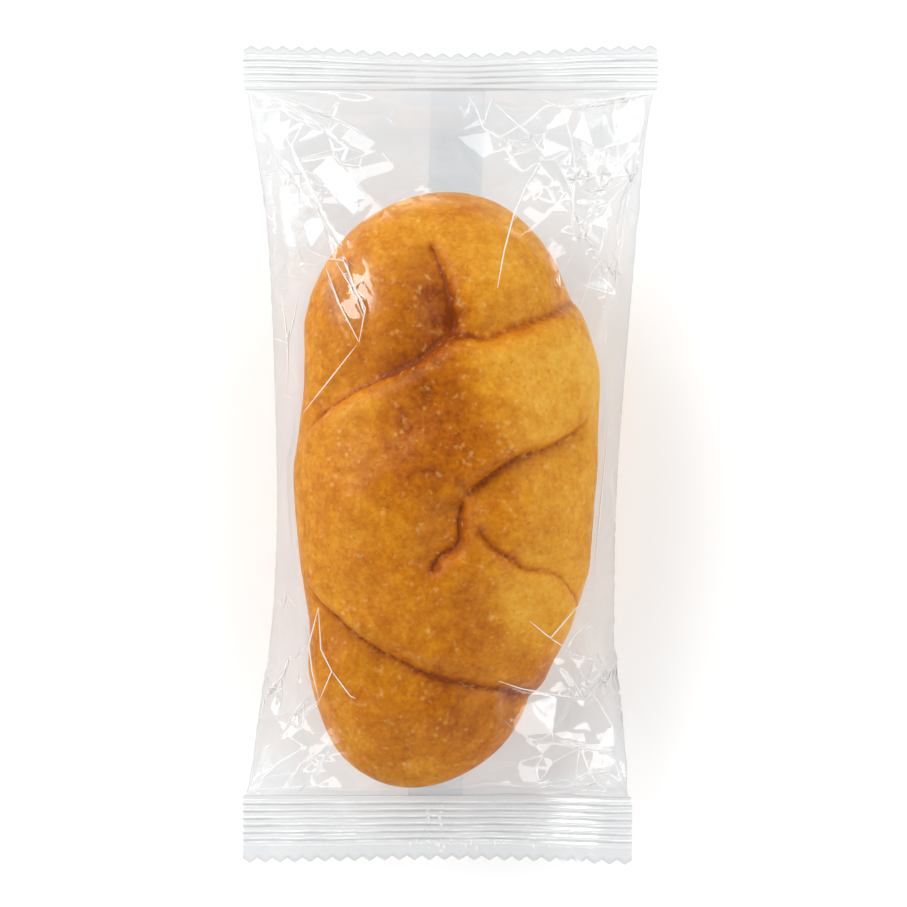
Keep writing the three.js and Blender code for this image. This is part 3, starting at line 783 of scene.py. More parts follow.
def facets(sheet, outward, folds, scattered, unevenness, seed):
    """The sheet rebuilt of flat facets between the folds and so many scattered sites."""
    dice = np.random.default_rng(seed)
    columns, rows = sheet.shape[:2]
    xy = sheet[..., :2].reshape(-1, 2)
    pitch = np.array([BAG_WIDTH / (columns - 1), TUBE_LENGTH / (rows - 1)])
    place, lift, edges = [], [], []
    taken = np.zeros((columns, rows), bool)

    def site(i, j, high):
        place.append((i, j))
        lift.append(high)
        reach_i, reach_j = (KEPT_FREE / pitch).astype(int)
        taken[max(0, i - reach_i):i + reach_i + 1, max(0, j - reach_j):j + reach_j + 1] = True

    for fold in folds:
        nearest, highs = sites_along(fold, xy)
        before = None
        for k, high in zip(nearest, highs):
            i, j = divmod(k, rows)
            if (i, j) in place:
                here = place.index((i, j))
            else:
                here = len(place)
                site(i, j, high)
            if before is not None and before != here:
                edges.append((before, here))
            before = here
    edge_sites = [(i, j) for i in [*range(0, columns, EDGE_STEP), columns - 1] for j in (0, rows - 1)]
    edge_sites += [(i, j) for j in range(FIRST_SIDE_SITE, rows - LAST_SIDE_SITE, EDGE_STEP)
                   for i in (0, columns - 1)]
    for i, j in edge_sites:
        if (i, j) not in place:
            site(i, j, 0.0)
    for i, j in zip(dice.integers(2, columns - 2, scattered), dice.integers(3, rows - 3, scattered)):
        if not taken[i, j]:
            site(int(i), int(j), dice.normal(0, unevenness))

    flat = [tuple(np.array(p) * pitch) for p in place]
    corners, _, triangles, origins, _, _ = delaunay_2d_cdt([Vector(p) for p in flat], edges, [], 0, 1e-4)
    grid = np.array([list(c) for c in corners]) / pitch
    i = np.clip(np.rint(grid[:, 0]).astype(int), 0, columns - 1)
    j = np.clip(np.rint(grid[:, 1]).astype(int), 0, rows - 1)
    lift = np.array(lift)
    near = lambda corner: lift[np.argsort(((np.array(flat) - list(corner)) ** 2).sum(1))[:2]].mean()
    high = np.array([lift[o[0]] if o else near(c) for o, c in zip(origins, corners)])
    solid = sheet[i, j] + outward[i, j] * high[:, None]
    flat_tree = BVHTree.FromPolygons([(*c, 0) for c in corners], [tuple(t) for t in triangles])
    triangles = np.array([list(t) for t in triangles])
    cell = np.stack(np.meshgrid(np.arange(columns), np.arange(rows), indexing="ij"), -1) * pitch
    which = np.zeros((columns, rows), int)
    for a, b in np.ndindex(columns, rows):
        hit = flat_tree.find_nearest((*cell[a, b], 0.0))
        which[a, b] = hit[2]
    p, q, r = (np.array([list(c) for c in corners])[triangles[which][..., k]] for k in (0, 1, 2))
    area = np.cross(q - p, r - p)
    first, second = np.cross(q - cell, r - cell) / area, np.cross(r - cell, p - cell) / area
    weights = np.stack([first, second, 1 - first - second], -1)
    print(len(place), "sites make", len(triangles), "facets")
    return (solid[triangles[which]] * weights[..., None]).sum(-2), (i, j, triangles)


def closed_up(mask, cells):
    """Fills the narrow gaps of a mask over the film: it is grown by so many cells and shrunk again."""
    for widest in [np.maximum] * cells + [np.minimum] * cells:
        mask = widest(widest(mask, np.roll(mask, 1, 0)), np.roll(mask, -1, 0))
        mask = widest(widest(mask, np.roll(mask, 1, 1)), np.roll(mask, -1, 1))
    return mask


def press_folds(p, free, folds, scattered, unevenness, seed, part):
    """Moves the free film of one sheet onto its facets."""
    sheet, outward = p[part], outward_direction(p)[part]
    flat, network = facets(sheet, outward, folds, scattered, unevenness, seed)
    inside = (smooth(SEAM_START, SEAM_START + SEAL_FADE, sheet[..., 1])
              * smooth(SEAM_END, SEAM_END - SEAL_FADE, sheet[..., 1]))
    column = np.arange(sheet.shape[0])
    inside *= smooth(0, SIDE_FADE, np.minimum(column, column[::-1]))[:, None]
    p[part] += (flat - sheet) * (inside * free[part])[..., None]
    return network


SEAL_FADE, SIDE_FADE = 2.5, 5       # no folds at the seals, in mm, and at the side folds, in points
BRIDGED = 10        # cells of film that may span a crease of the crust and still count as lying on it
for _ in range(3):          # takes out the solver's last tremble
    even = (np.roll(shape, 1, 0) + np.roll(shape, -1, 0)) / 4
    even[:, 1:-1] += (shape[:, 2:] + shape[:, :-2]) / 4
    even[:, [0, -1]] = shape[:, [0, -1]]
    shape[:2 * tube.m + 1] += 0.6 * (even - shape)[:2 * tube.m + 1]
tube.hold_ends(shape)
free_film = 1 - closed_up(smooth(1.6, 0.4, above_crust(shape)[0]), BRIDGED)
shoulder = np.exp(-(((shape[..., 0] + 22) / 6) ** 2 + ((shape[..., 1] - 36) / 9) ** 2))
free_film = np.maximum(free_film, smooth(0.2, 0.6, shoulder))     # lifts off the upper left shoulder
network = press_folds(shape, free_film, FOLDS + small_folds(), 260, 0.2, 41, slice(0, 2 * tube.m + 1))
press_folds(shape, free_film, [], 260, 0.3, 42, slice(2 * tube.m + 1, tube.ring))
shape[..., 2] = np.maximum(shape[..., 2], TABLE)

# %% Keep the film just clear of the real crust
crust_tree = BVHTree.FromPolygons([tuple(v.co / MM) for v in croissant.data.vertices],
                                  [tuple(face.vertices) for face in croissant.data.polygons])
CLEARANCE, SEARCH = 0.12, 6.0
LYING = RESTS_AT + 0.3      # film below this lies under the croissant
clearance = np.full(shape.shape[:2], SEARCH)
for i, j in np.argwhere(above_crust(shape)[0] < SEARCH - 2):
    place, normal, _, _ = crust_tree.find_nearest(tuple(shape[i, j]), SEARCH)
    if place is None:
        continue
    gap = (np.array(shape[i, j]) - place) @ np.array(normal)
    if gap < CLEARANCE and shape[i, j, 2] > LYING:
        shape[i, j] = np.array(place) + np.array(normal) * CLEARANCE
    clearance[i, j] = max(gap, 0)
tube.hold_ends(shape)
print("the film touches the crust over", round(100 * float((clearance < 0.5).mean())), "% of its points")

# %% The film as a mesh, closed at both ends
order = np.swapaxes(shape, 0, 1)          # rings one after another along the bag
faces = [list(face) for face in ring_faces(tube.rows, tube.ring)]
m = tube.m
for start, flip in ((0, True), ((tube.rows - 1) * tube.ring, False)):
    for j in range(m):
        lower, next_lower = start + (3 * m - j) % tube.ring, start + (3 * m - j - 1)
        a, b, c = (start + 2 * j + k for k in (0, 1, 2))
        ends = [[lower, a, b], [lower, b, next_lower], [next_lower, b, c]]
        for corners in ends:
            if len(set(corners)) == 3:
                faces.append(corners[::-1] if flip else corners)
film = make_mesh("film_bag", order.reshape(-1, 3), faces)
lies_on = closed_up(smooth(2.4, 0.9, clearance), BRIDGED) * (1 - smooth(0.2, 0.6, shoulder))
keep_value(film, "touch", lies_on.T)
print("film:", len(film.data.polygons), "faces")

# %% [markdown]
# ## Node trees, written briefly
#
# Both the crimped seals and the small repeated things are made by Geometry
# Nodes. These few helpers add a node, do a sum, and turn the finished result
# into a plain mesh.

# %% Helpers for node trees
def add(tree, kind, inputs=(), **settings):
    """A node with its settings, and its inputs by name or number: a value, or a socket to link."""
    made = tree.nodes.new(kind)
    for name, value in settings.items():
        setattr(made, name, value)
    for key, value in dict(inputs).items():
        if isinstance(value, bpy.types.NodeSocket):
            tree.links.new(value, made.inputs[key])
        else:
            made.inputs[key].default_value = value
    return made


def sum_up(tree, operation, *values):
    """The result of one sum, in a shader tree or a geometry tree."""
    return add(tree, "ShaderNodeMath", enumerate(values), operation=operation).outputs[0]


def between(tree, value, low, high, start=0.0, end=1.0, kind="LINEAR"):
    """A number that goes from start to end while the value goes from low to high."""
    return add(tree, "ShaderNodeMapRange", {
        "Value": value, "From Min": low, "From Max": high, "To Min": start, "To Max": end},
        interpolation_type=kind).outputs[0]


def cloudy(tree, where, scale, detail):
    """Smooth noise in the places given."""
    return add(tree, "ShaderNodeTexNoise", {
        "Vector": where, "Scale": scale, "Detail": detail}).outputs["Fac"]


def three(tree, x=0.0, y=0.0, z=0.0):
    """A vector of three numbers."""
    return add(tree, "ShaderNodeCombineXYZ", {0: x, 1: y, 2: z}).outputs[0]


def kept(tree, name):
    """A number that was kept at the piece's points, for its material."""
    return add(tree, "ShaderNodeAttribute", attribute_name=name).outputs["Fac"]


def new_material(name, values):
    """A material of one Principled shader with these values."""
    material = bpy.data.materials.new(name)
    material.use_nodes = True
    for socket, value in values.items():
        material.node_tree.nodes["Principled BSDF"].inputs[socket].default_value = value
    return material


def empty_material(name):
    """A material with an empty tree."""
    material = bpy.data.materials.new(name)
    material.use_nodes = True
    material.node_tree.nodes.clear()
    return material, material.node_tree


def geometry_tree(name, sizes):
    """A tree with a geometry input and output, and one named number for each size."""
    tree = bpy.data.node_groups.new(name, "GeometryNodeTree")
    tree.is_modifier = True
    face = tree.interface
    face.new_socket("Geometry", in_out="INPUT", socket_type="NodeSocketGeometry")
    for size, value in sizes.items():
        kind = "NodeSocketInt" if isinstance(value, int) else "NodeSocketFloat"
        face.new_socket(size, in_out="INPUT", socket_type=kind).default_value = value
    face.new_socket("Material", in_out="INPUT", socket_type="NodeSocketMaterial")
    face.new_socket("Geometry", in_out="OUTPUT", socket_type="NodeSocketGeometry")
    return tree, tree.nodes.new("NodeGroupInput").outputs, tree.nodes.new("NodeGroupOutput")


def end_tree(tree, geometry, material, output):
    """Ends a tree: real geometry in place of instances, with its material."""
    real = add(tree, "GeometryNodeRealizeInstances", {0: geometry}).outputs[0]
    painted = add(tree, "GeometryNodeSetMaterial", {"Geometry": real, "Material": material}).outputs[0]
    tree.links.new(painted, output.inputs[0])


def grow(name, tree, values, start=None):
    """Runs a tree with these values on a mesh, and gives back its result as a plain mesh."""
    seed = bpy.data.objects.new(name, start or bpy.data.meshes.new(name))
    scene.collection.objects.link(seed)
    modifier = seed.modifiers.new("grow", "NODES")
    modifier.node_group = tree
    for item in tree.interface.items_tree:
        if item.in_out == "INPUT" and item.name in values:
            modifier[item.identifier] = values[item.name]
    bpy.context.view_layer.update()
    mesh = bpy.data.meshes.new_from_object(seed.evaluated_get(bpy.context.evaluated_depsgraph_get()))
    if volume(mesh) < 0:        # as in a strip whose rows run downwards
        mesh.flip_normals()
    seed.modifiers.remove(modifier)
    old = seed.data
    seed.data = mesh
    mesh.name = name
    if old.users == 0:
        bpy.data.meshes.remove(old)
    print(name, "has", len(mesh.polygons), "faces round", round(volume(mesh), 1), "mm³")
    return seed


# %% [markdown]
# ## The film's material
#
# Film this thin doesn't bend light, so it isn't treated as solid glass: most
# light goes straight through, and a little is mirrored at its surface, more at
# a glancing angle. So a clear shader is mixed with a mirror by Fresnel's rule,
# for the film's two faces together.

# %% Clear film
MIRROR = 0.065      # share of light that a film sends back when seen square on
SHADE = 0.16        # how much painted shade darkens the film in the valleys of a crimp and at its cut edge
TOUCH_ROUGH = 0.42  # its roughness where it lies on the crust
TOUCH_DULL = 0.98   # share of its mirror that it loses there


def film_material(name, clear, gloss, mirror=MIRROR, flank=0.2):
    """Clear film of that clearness and roughness, darker on its flanks.

    "touch" says where it lies on the crust, which breaks its gloss, and "shade" where painted shade darkens
    it.
    """
    material, tree = empty_material(name)
    S = lambda operation, *values: sum_up(tree, operation, *values)
    facing = add(tree, "ShaderNodeLayerWeight", {"Blend": 0.5}).outputs["Facing"]
    share = S("MULTIPLY_ADD", S("POWER", facing, 5.0), 1 - mirror, mirror)
    where = add(tree, "ShaderNodeTexCoord").outputs["Object"]
    ripple = add(tree, "ShaderNodeBump", {
        "Strength": 0.2, "Distance": 0.0006, "Height": cloudy(tree, where, 150.0, 3.0)}).outputs[0]
    touch = kept(tree, "touch")
    rough = S("MULTIPLY_ADD", touch, TOUCH_ROUGH - gloss, gloss)
    share = S("MULTIPLY", share, S("MULTIPLY_ADD", touch, -TOUCH_DULL, 1.0))
    unshaded = S("SUBTRACT", 1.0, add(tree, "ShaderNodeLightPath").outputs["Is Shadow Ray"])
    mirrored = add(tree, "ShaderNodeBsdfPrincipled", {
        "Base Color": (0.98, 0.98, 0.98, 1), "Metallic": 1.0, "Roughness": rough, "Normal": ripple})
    unshaded_share = S("MULTIPLY", share, unshaded)
    passed = S("MULTIPLY_ADD", kept(tree, "shade"), -SHADE,
               S("MULTIPLY_ADD", S("POWER", facing, 1.6), -flank, clear))
    clarity = add(tree, "ShaderNodeCombineColor", {
        0: S("MULTIPLY", passed, 0.985), 1: S("MULTIPLY", passed, 0.994), 2: passed}).outputs[0]
    through_it = add(tree, "ShaderNodeBsdfTransparent", {"Color": clarity})
    mixed = add(tree, "ShaderNodeMixShader", {
        0: unshaded_share, 1: through_it.outputs[0], 2: mirrored.outputs[0]})
    output = add(tree, "ShaderNodeOutputMaterial")
    tree.links.new(mixed.outputs[0], output.inputs[0])
    return material


clear_film = film_material("clear_film", 0.955, 0.05)
seal_film = film_material("sealed_film", 0.95, 0.09)
seam_film = film_material("seam_film", 0.998, 0.12, mirror=0.006, flank=0.03)
film.data.materials.append(clear_film)

# %% [markdown]
# ## The crimped seals
#
# Hot ridged jaws squeeze the two sheets together, and a toothed knife cuts
# them, so each end is a strip with fine ridges along it and rounded saw teeth.
#
# It could be a flat strip with a bump map, but the ridges catch the light from
# every side, so they are real. A Geometry Nodes tree starts with a fine grid
# and works out each point's height: ridge, wave, sag and curled corner. Then
# the sheet is given its thickness.

# %% Crimped seal tree
TEETH = 26
SEAL_SIZES = {
    **{name.capitalize(): 0.0 for name in TOP_SEAL},
    "Columns": TEETH * 12 + 1, "Rows": 84, "Ridge height": 0.34, "Ridge sharpness": 1.6,
    "Teeth": float(TEETH), "Tooth depth": 1.1, "Tooth roundness": 0.85, "Rim start": 0.84,
    "Cut edge": 0.93, "Flutter": 0.4, "Thickness": 0.12,
}


def crimped_seal_tree():
    """A ridged strip with saw teeth along its outer edge."""
    tree, size, output = geometry_tree("crimped_seal", SEAL_SIZES)
    S = lambda operation, *values: sum_up(tree, operation, *values)
    B = lambda *values, **kinds: between(tree, *values, **kinds)
    grid = add(tree, "GeometryNodeMeshGrid", {
        "Size X": 1.0, "Size Y": 1.0,
        "Vertices X": size["Columns"], "Vertices Y": size["Rows"]}).outputs["Mesh"]
    position = add(tree, "GeometryNodeInputPosition").outputs[0]
    place = add(tree, "ShaderNodeSeparateXYZ", {0: position}).outputs
    u, v = S("ADD", place[0], 0.5), S("ADD", place[1], 0.5)
    span = S("SUBTRACT", size["Outer"], size["Inner"])
    outwards = S("SIGN", span)
    run = S("MULTIPLY", v, S("ABSOLUTE", span))
    arch = S("POWER", S("SINE", S("MULTIPLY", u, math.pi)), 2.0)

    # teeth, and where each point is seen from above
    saw = S("ABSOLUTE", S("MULTIPLY_ADD", S("FRACT", S("MULTIPLY", u, size["Teeth"])), 2.0, -1.0))
    tooth = S("POWER", S("SUBTRACT", 1.0, saw), size["Tooth roundness"])
    rim = B(v, size["Rim start"], 1.0, kind="SMOOTHSTEP")
    reach = S("MULTIPLY", S("MULTIPLY", tooth, size["Tooth depth"]), rim)
    drawn = S("MULTIPLY", S("MULTIPLY", size["Dip"], arch), v)
    y = S("MULTIPLY_ADD", S("SUBTRACT", S("ADD", run, reach), drawn), outwards, size["Inner"])
    x = S("MULTIPLY_ADD", u, S("SUBTRACT", size["Right"], size["Left"]), size["Left"])

    # ridges, which wander a little, and painted shade in patches in the valleys between them
    flat_place = three(tree, x, y)
    wander = cloudy(tree, flat_place, 0.09, 1.0)
    run_in = S("ADD", S("SUBTRACT", run, 0.4), S("MULTIPLY_ADD", wander, 0.5, -0.25))
    phase = S("DIVIDE", run_in, size["Pitch"])
    turn = S("MULTIPLY", phase, math.pi)
    crest = S("POWER", S("ABSOLUTE", S("SINE", turn)), size["Ridge sharpness"])
    ridged = S("MULTIPLY", B(phase, 0.0, 0.5), B(S("SUBTRACT", size["Ridges"], phase), 0.0, 0.4))
    ridge = S("MULTIPLY", S("MULTIPLY", crest, size["Ridge height"]), ridged)
    shade_patches = B(cloudy(tree, flat_place, 0.07, 2.0), 0.35, 0.6, 0.35, 1.0)
    valley = S("POWER", S("ABSOLUTE", S("COSINE", turn)), 5.0)
    painted_shade = S("MULTIPLY", S("MULTIPLY", valley, shade_patches), ridged)
    # and more painted shade towards the toothed cut edge
    painted_shade = S("MAXIMUM", painted_shade, B(v, size["Cut edge"], 1.0, 0.0, 0.45))

    # height
    wave = S("MULTIPLY", S("SINE", S("MULTIPLY_ADD", size["Waves"], u, size["Phase"])), size["Ripple"])
    curled = B(u, CURL_START, 1.0, 0.0, size["Curl"], kind="SMOOTHSTEP")
    stir = cloudy(tree, flat_place, 0.16, 2.0)
    flutter = S("MULTIPLY", S("MULTIPLY", S("SUBTRACT", stir, 0.5), size["Flutter"]), S("MULTIPLY", v, 2.0))
    z = S("ADD", S("ADD", S("ADD", size["Lift"], wave), S("ADD", curled, flutter)),
          S("SUBTRACT", ridge, S("MULTIPLY", size["Sag"], arch)))

    to_metres = add(tree, "ShaderNodeVectorMath", {0: three(tree, x, y, z), "Scale": MM}, operation="SCALE")
    marked = add(tree, "GeometryNodeStoreNamedAttribute", {
        "Geometry": grid, "Name": "shade", "Value": painted_shade}, data_type="FLOAT", domain="POINT").outputs[0]
    sheet = add(tree, "GeometryNodeSetPosition", {
        "Geometry": marked, "Position": to_metres.outputs[0]}).outputs[0]
    up = three(tree, z=S("MULTIPLY", size["Thickness"], MM))
    above = add(tree, "GeometryNodeExtrudeMesh", {
        "Mesh": sheet, "Offset": up, "Individual": False}).outputs[0]
    below = add(tree, "GeometryNodeFlipFaces", {"Mesh": sheet}).outputs[0]
    joined = tree.nodes.new("GeometryNodeJoinGeometry")
    for half in (above, below):
        tree.links.new(half, joined.inputs[0])
    closed = add(tree, "GeometryNodeMergeByDistance", {
        "Geometry": joined.outputs[0], "Distance": 1e-6}).outputs[0]
    smoothed = add(tree, "GeometryNodeSetShadeSmooth", {
        "Geometry": closed, "Shade Smooth": True}).outputs[0]
    end_tree(tree, smoothed, size["Material"], output)
    return tree


# %% Both seals
seal_tree = crimped_seal_tree()
seals = []
for name, seal in (("top_seal", TOP_SEAL), ("bottom_seal", BOTTOM_SEAL)):
    values = {size.capitalize(): float(value) for size, value in seal.items()}
    values["Inner"] += math.copysign(0.2, seal["outer"])
    values["Lift"] -= SEAL_SIZES["Thickness"] / 2       # the strip is built up from its lower face
    seals.append(grow(name, seal_tree, {**values, "Material": seal_film}))

# %% [markdown]
# ## White fold lines
#
# A sharp fold in film turns white, because it is creased right through and
# catches light from every side. Bump or gloss can't show a line thinner than a
# facet, so each sharp edge between two facets carries a fine thread of white
# film, which is partly the fold's own whitening and partly a painted highlight.
# The mesh of edges goes into a Geometry Nodes tree, which draws a thin
# tube along each, as thick as the fold is sharp.

# %% Threads along the sharp folds
SHARP = 13.0         # degrees between two facets from which the edge shows white
STILL_FREE = 0.35    # film that lies on the crust more than this has no white edges
# white film: partly the whitening of a fold, partly painted highlight; the bubbles wear it as painted
# glints
whitening_and_highlight = new_material("whitening_and_highlight", {"Base Color": (1, 1, 1, 1), "Roughness": 0.3, "Alpha": 0.8})


def sharp_edges(corner_i, corner_j, triangles, sharpest):
    """Edges between facets of the free upper film, their ends in space and how sharply they fold."""
    points = shape[corner_i, corner_j]
    usable = lies_on[corner_i, corner_j] < STILL_FREE
    usable &= (corner_j > 2) & (corner_j < tube.rows - 3)           # not at the seals
    usable &= (corner_i > 1) & (corner_i < 2 * tube.m - 1)          # nor at the side folds
    a, b, c = (points[triangles[:, k]] for k in range(3))
    normal = np.cross(b - a, c - a)
    normal /= np.linalg.norm(normal, axis=1, keepdims=True) + 1e-9
    beside = {}
    for t, corners in enumerate(triangles):
        for k in range(3):
            beside.setdefault(tuple(sorted((int(corners[k]), int(corners[(k + 1) % 3])))), []).append(t)
    found = []
    for (p, q), pair in beside.items():
        if len(pair) == 2 and usable[p] and usable[q]:
            level = min(1.0, abs(float(normal[pair[0]] @ normal[pair[1]])))
            turn = math.degrees(math.acos(level))
            if turn > sharpest:
                found.append((points[p], points[q], turn))
    return found


def thread_tree():
    """Draws a thin tube along every edge, as thick as its "thick" attribute says."""
    tree, size, output = geometry_tree("threads", {})
    thick = add(tree, "GeometryNodeInputNamedAttribute", {"Name": "thick"}, data_type="FLOAT").outputs[0]
    lines = add(tree, "GeometryNodeMeshToCurve", {"Mesh": size["Geometry"]}).outputs[0]
    ring = add(tree, "GeometryNodeCurvePrimitiveCircle", {"Resolution": 4, "Radius": 1.0}).outputs[0]
    tube_mesh = add(tree, "GeometryNodeCurveToMesh", {
        "Curve": lines, "Profile Curve": ring, "Scale": thick, "Fill Caps": True})
    end_tree(tree, tube_mesh.outputs[0], size["Material"], output)
    return tree


def line_mesh(name, pieces):
    """A mesh of loose edges with a thickness at each end, in millimetres."""
    points = np.array([end for first, second, _, _ in pieces for end in (first, second)]) * MM
    mesh = bpy.data.meshes.new(name)
    mesh.from_pydata(points.tolist(), [(2 * k, 2 * k + 1) for k in range(len(pieces))], [])
    values = np.array([t for _, _, one, two in pieces for t in (one, two)], np.float32) * MM
    mesh.attributes.new("thick", "FLOAT", "POINT").data.foreach_set("value", values)
    return mesh


lines = []
upper = shape[:2 * tube.m + 1].reshape(-1, 3)
for high, line in FOLDS:            # the placed folds, also where they cross the crust
    spots, at = places_on(line, lambda length: max(4, round(length)))
    near = 1 / (((upper[None, :, :2] - spots[:, None]) ** 2).sum(2) + 0.01) ** 2
    height = (near * upper[:, 2]).sum(1) / near.sum(1) + 0.05
    width = (0.07 + 0.16 * high) * np.sin(math.pi * (0.06 + 0.88 * at / at[-1])) ** 0.7
    ends = np.column_stack([spots, height])
    lines += list(zip(ends, ends[1:], width, width[1:]))
print(len(lines), "pieces of placed folds")
for first, second, turn in sharp_edges(*network, SHARP):
    width = min(0.17, 0.03 + 0.0035 * (turn - SHARP))
    middle = (first + second) / 2
    lines += [(first, middle, 0.25 * width, width), (middle, second, width, 0.25 * width)]
print(len(lines), "pieces of white fold in all")
threads = grow("fold_lines", thread_tree(), {"Material": whitening_and_highlight}, line_mesh("fold_lines", lines))

# %% [markdown]
# ## Back seam, folded corner and trapped air
#
# A flow-wrap bag is one sheet of film whose two long edges are joined along the
# back, so a double strip runs from seal to seal underneath. It shows faintly
# through the clear film above the croissant.

# %% The seam along the back
SEAM_WIDTH, SEAM_TOP, SEAM_BOTTOM = 12.0, 1.7, -3.4     # its middle is at those x at its two ends
SEAM_FACES = (0.06, 0.12)           # how far its two faces lie under the lower sheet
SEAM_COLUMNS = 9
under_sheet = np.concatenate([shape[2 * tube.m:], shape[:1]])
across = np.linspace(-SEAM_WIDTH / 2, SEAM_WIDTH / 2, SEAM_COLUMNS)
seam_points = []
for depth in SEAM_FACES:
    for row in range(0, tube.rows, 2):
        y = under_sheet[:, row, 1].mean()
        x = np.interp(y, (SEAM_START, SEAM_END), (SEAM_BOTTOM, SEAM_TOP)) + across
        z = np.interp(x, under_sheet[::-1, row, 0], under_sheet[::-1, row, 2]) - depth
        seam_points += list(zip(x, np.full(SEAM_COLUMNS, y), z))
seam_rows = tube.rows // 2
number = np.arange(seam_rows * SEAM_COLUMNS).reshape(seam_rows, SEAM_COLUMNS)
cells = np.stack([number[:-1, :-1], number[:-1, 1:], number[1:, 1:], number[1:, :-1]], -1).reshape(-1, 4)
rim = [*number[0], *number[1:, -1], *number[-1, -2::-1], *number[-2:0:-1, 0]]
walls = [[a + number.size, b + number.size, b, a] for a, b in zip(rim, rim[1:] + rim[:1])]
back_seam = make_mesh("back_seam", seam_points,
                      cells.tolist() + (cells + number.size)[:, ::-1].tolist() + walls)
back_seam.data.materials.append(seam_film)

# %% [markdown]
# The lower left corner of the bottom seal was folded over as it was cut, so a
# small triangle of film lies on top of the seal there.

# %% Folded corner
CORNER = [(-45.9, -89.3), (-39.8, -89.4), (-40.6, -86.2), (-45.3, -85.0)]
CORNER_LIFT, CORNER_THICKNESS = 0.45, 0.12


def on_bottom_seal(x):
    """The height of the bottom seal's middle at x."""
    left, right = BOTTOM_SEAL["left"], BOTTOM_SEAL["right"]
    return seal_height(BOTTOM_SEAL, (x - left) / (right - left))


seat = on_bottom_seal(np.array(CORNER)[:, 0]) + CORNER_LIFT
flap_points = [(x, y, z + up) for up in (0, CORNER_THICKNESS) for (x, y), z in zip(CORNER, seat)]
flap_walls = [[k, (k + 1) % 4, (k + 1) % 4 + 4, k + 4] for k in range(4)]
flap = make_mesh("folded_corner", flap_points, [[3, 2, 1, 0], [4, 5, 6, 7]] + flap_walls,
                 smooth_faces=False)
flap.data.materials.append(seam_film)

# %% [markdown]
# Where the jaws closed over the edges of the back seam, tiny bubbles of air
# stayed in the bottom seal, in two rows, with some more along the ridges. One
# small bubble is placed on every seed point by Geometry Nodes. They are white,
# as painted glints on the trapped air.

# %% Bubbles in the bottom seal
def bubble_tree():
    """A flat little dome on every point, as large as its "size" attribute says."""
    tree, size, output = geometry_tree("bubbles", {"Flatness": 0.45})
    ball = add(tree, "GeometryNodeMeshIcoSphere", {"Radius": 1.0, "Subdivisions": 1}).outputs["Mesh"]
    flat = three(tree, 1.0, 1.0, size["Flatness"])
    ball = add(tree, "GeometryNodeTransform", {"Geometry": ball, "Scale": flat}).outputs[0]
    wide = add(tree, "GeometryNodeInputNamedAttribute", {"Name": "size"},
               data_type="FLOAT_VECTOR").outputs[0]
    points = add(tree, "GeometryNodeMeshToPoints", {"Mesh": size["Geometry"]}).outputs[0]
    placed = add(tree, "GeometryNodeInstanceOnPoints", {"Points": points, "Instance": ball, "Scale": wide})
    real = add(tree, "GeometryNodeRealizeInstances", {0: placed.outputs[0]}).outputs[0]
    smoothed = add(tree, "GeometryNodeSetShadeSmooth", {"Geometry": real}).outputs[0]
    end_tree(tree, smoothed, size["Material"], output)
    return tree


BUBBLE_ROWS = (-4.9, -2.3)          # x of the two rows
BUBBLE_LIFT = 0.3
dice = np.random.default_rng(12)
spots = []                          # x, y, size and how many times as long as wide
for column in BUBBLE_ROWS:
    spots += [(column + dice.normal(0, 0.3), y + dice.normal(0, 0.3), dice.uniform(0.22, 0.42), 1)
              for y in np.arange(-88, -77, 1.15)]
spots += [(dice.uniform(-32, 24), -77.2 - 1.6 * dice.integers(0, 7), dice.uniform(0.10, 0.2), 1)
          for _ in range(34)]       # along the ridges
spots += [(dice.uniform(-9, 22), -86.6 + dice.normal(0, 0.5), dice.uniform(0.14, 0.3), 3)
          for _ in range(16)]       # long ones near the cut edge
x, y, size, longer = np.array(spots).T
seeds = bpy.data.meshes.new("bubbles")
seeds.from_pydata((np.column_stack([x, y, on_bottom_seal(x) + BUBBLE_LIFT]) * MM).tolist(), [], [])
wide = np.column_stack([size, size * longer, size]) * MM
seeds.attributes.new("size", "FLOAT_VECTOR", "POINT").data.foreach_set("vector", wide.ravel())
# the bubbles are white, as painted glints
bubbles = grow("bubbles", bubble_tree(), {"Material": whitening_and_highlight}, seeds)

# %% [markdown]
# ## The crust's material
#
# A soft croissant is brushed with egg before it is baked, so its crust is
# golden and satin, browner where it stood nearest the heat and paler where one
# turn covered the next. Close up it has fine pale flecks and tiny blisters.
# Deep in the creases, and on the lobes under the turns that lie over them, it
# is painted darker as shade.

# %% Crust
CRUST_COLOURS = [
    # from pale to dark
    (0.0, (0.88, 0.455, 0.050)), (0.3, (0.78, 0.325, 0.016)), (0.55, (0.62, 0.200, 0.004)),
    (0.8, (0.45, 0.112, 0.001)), (1.0, (0.27, 0.052, 0.0005)),
]
FLECKS, STREAKS, SPECKS = (0.93, 0.56, 0.16), (0.95, 0.60, 0.20), (0.33, 0.07, 0.002)


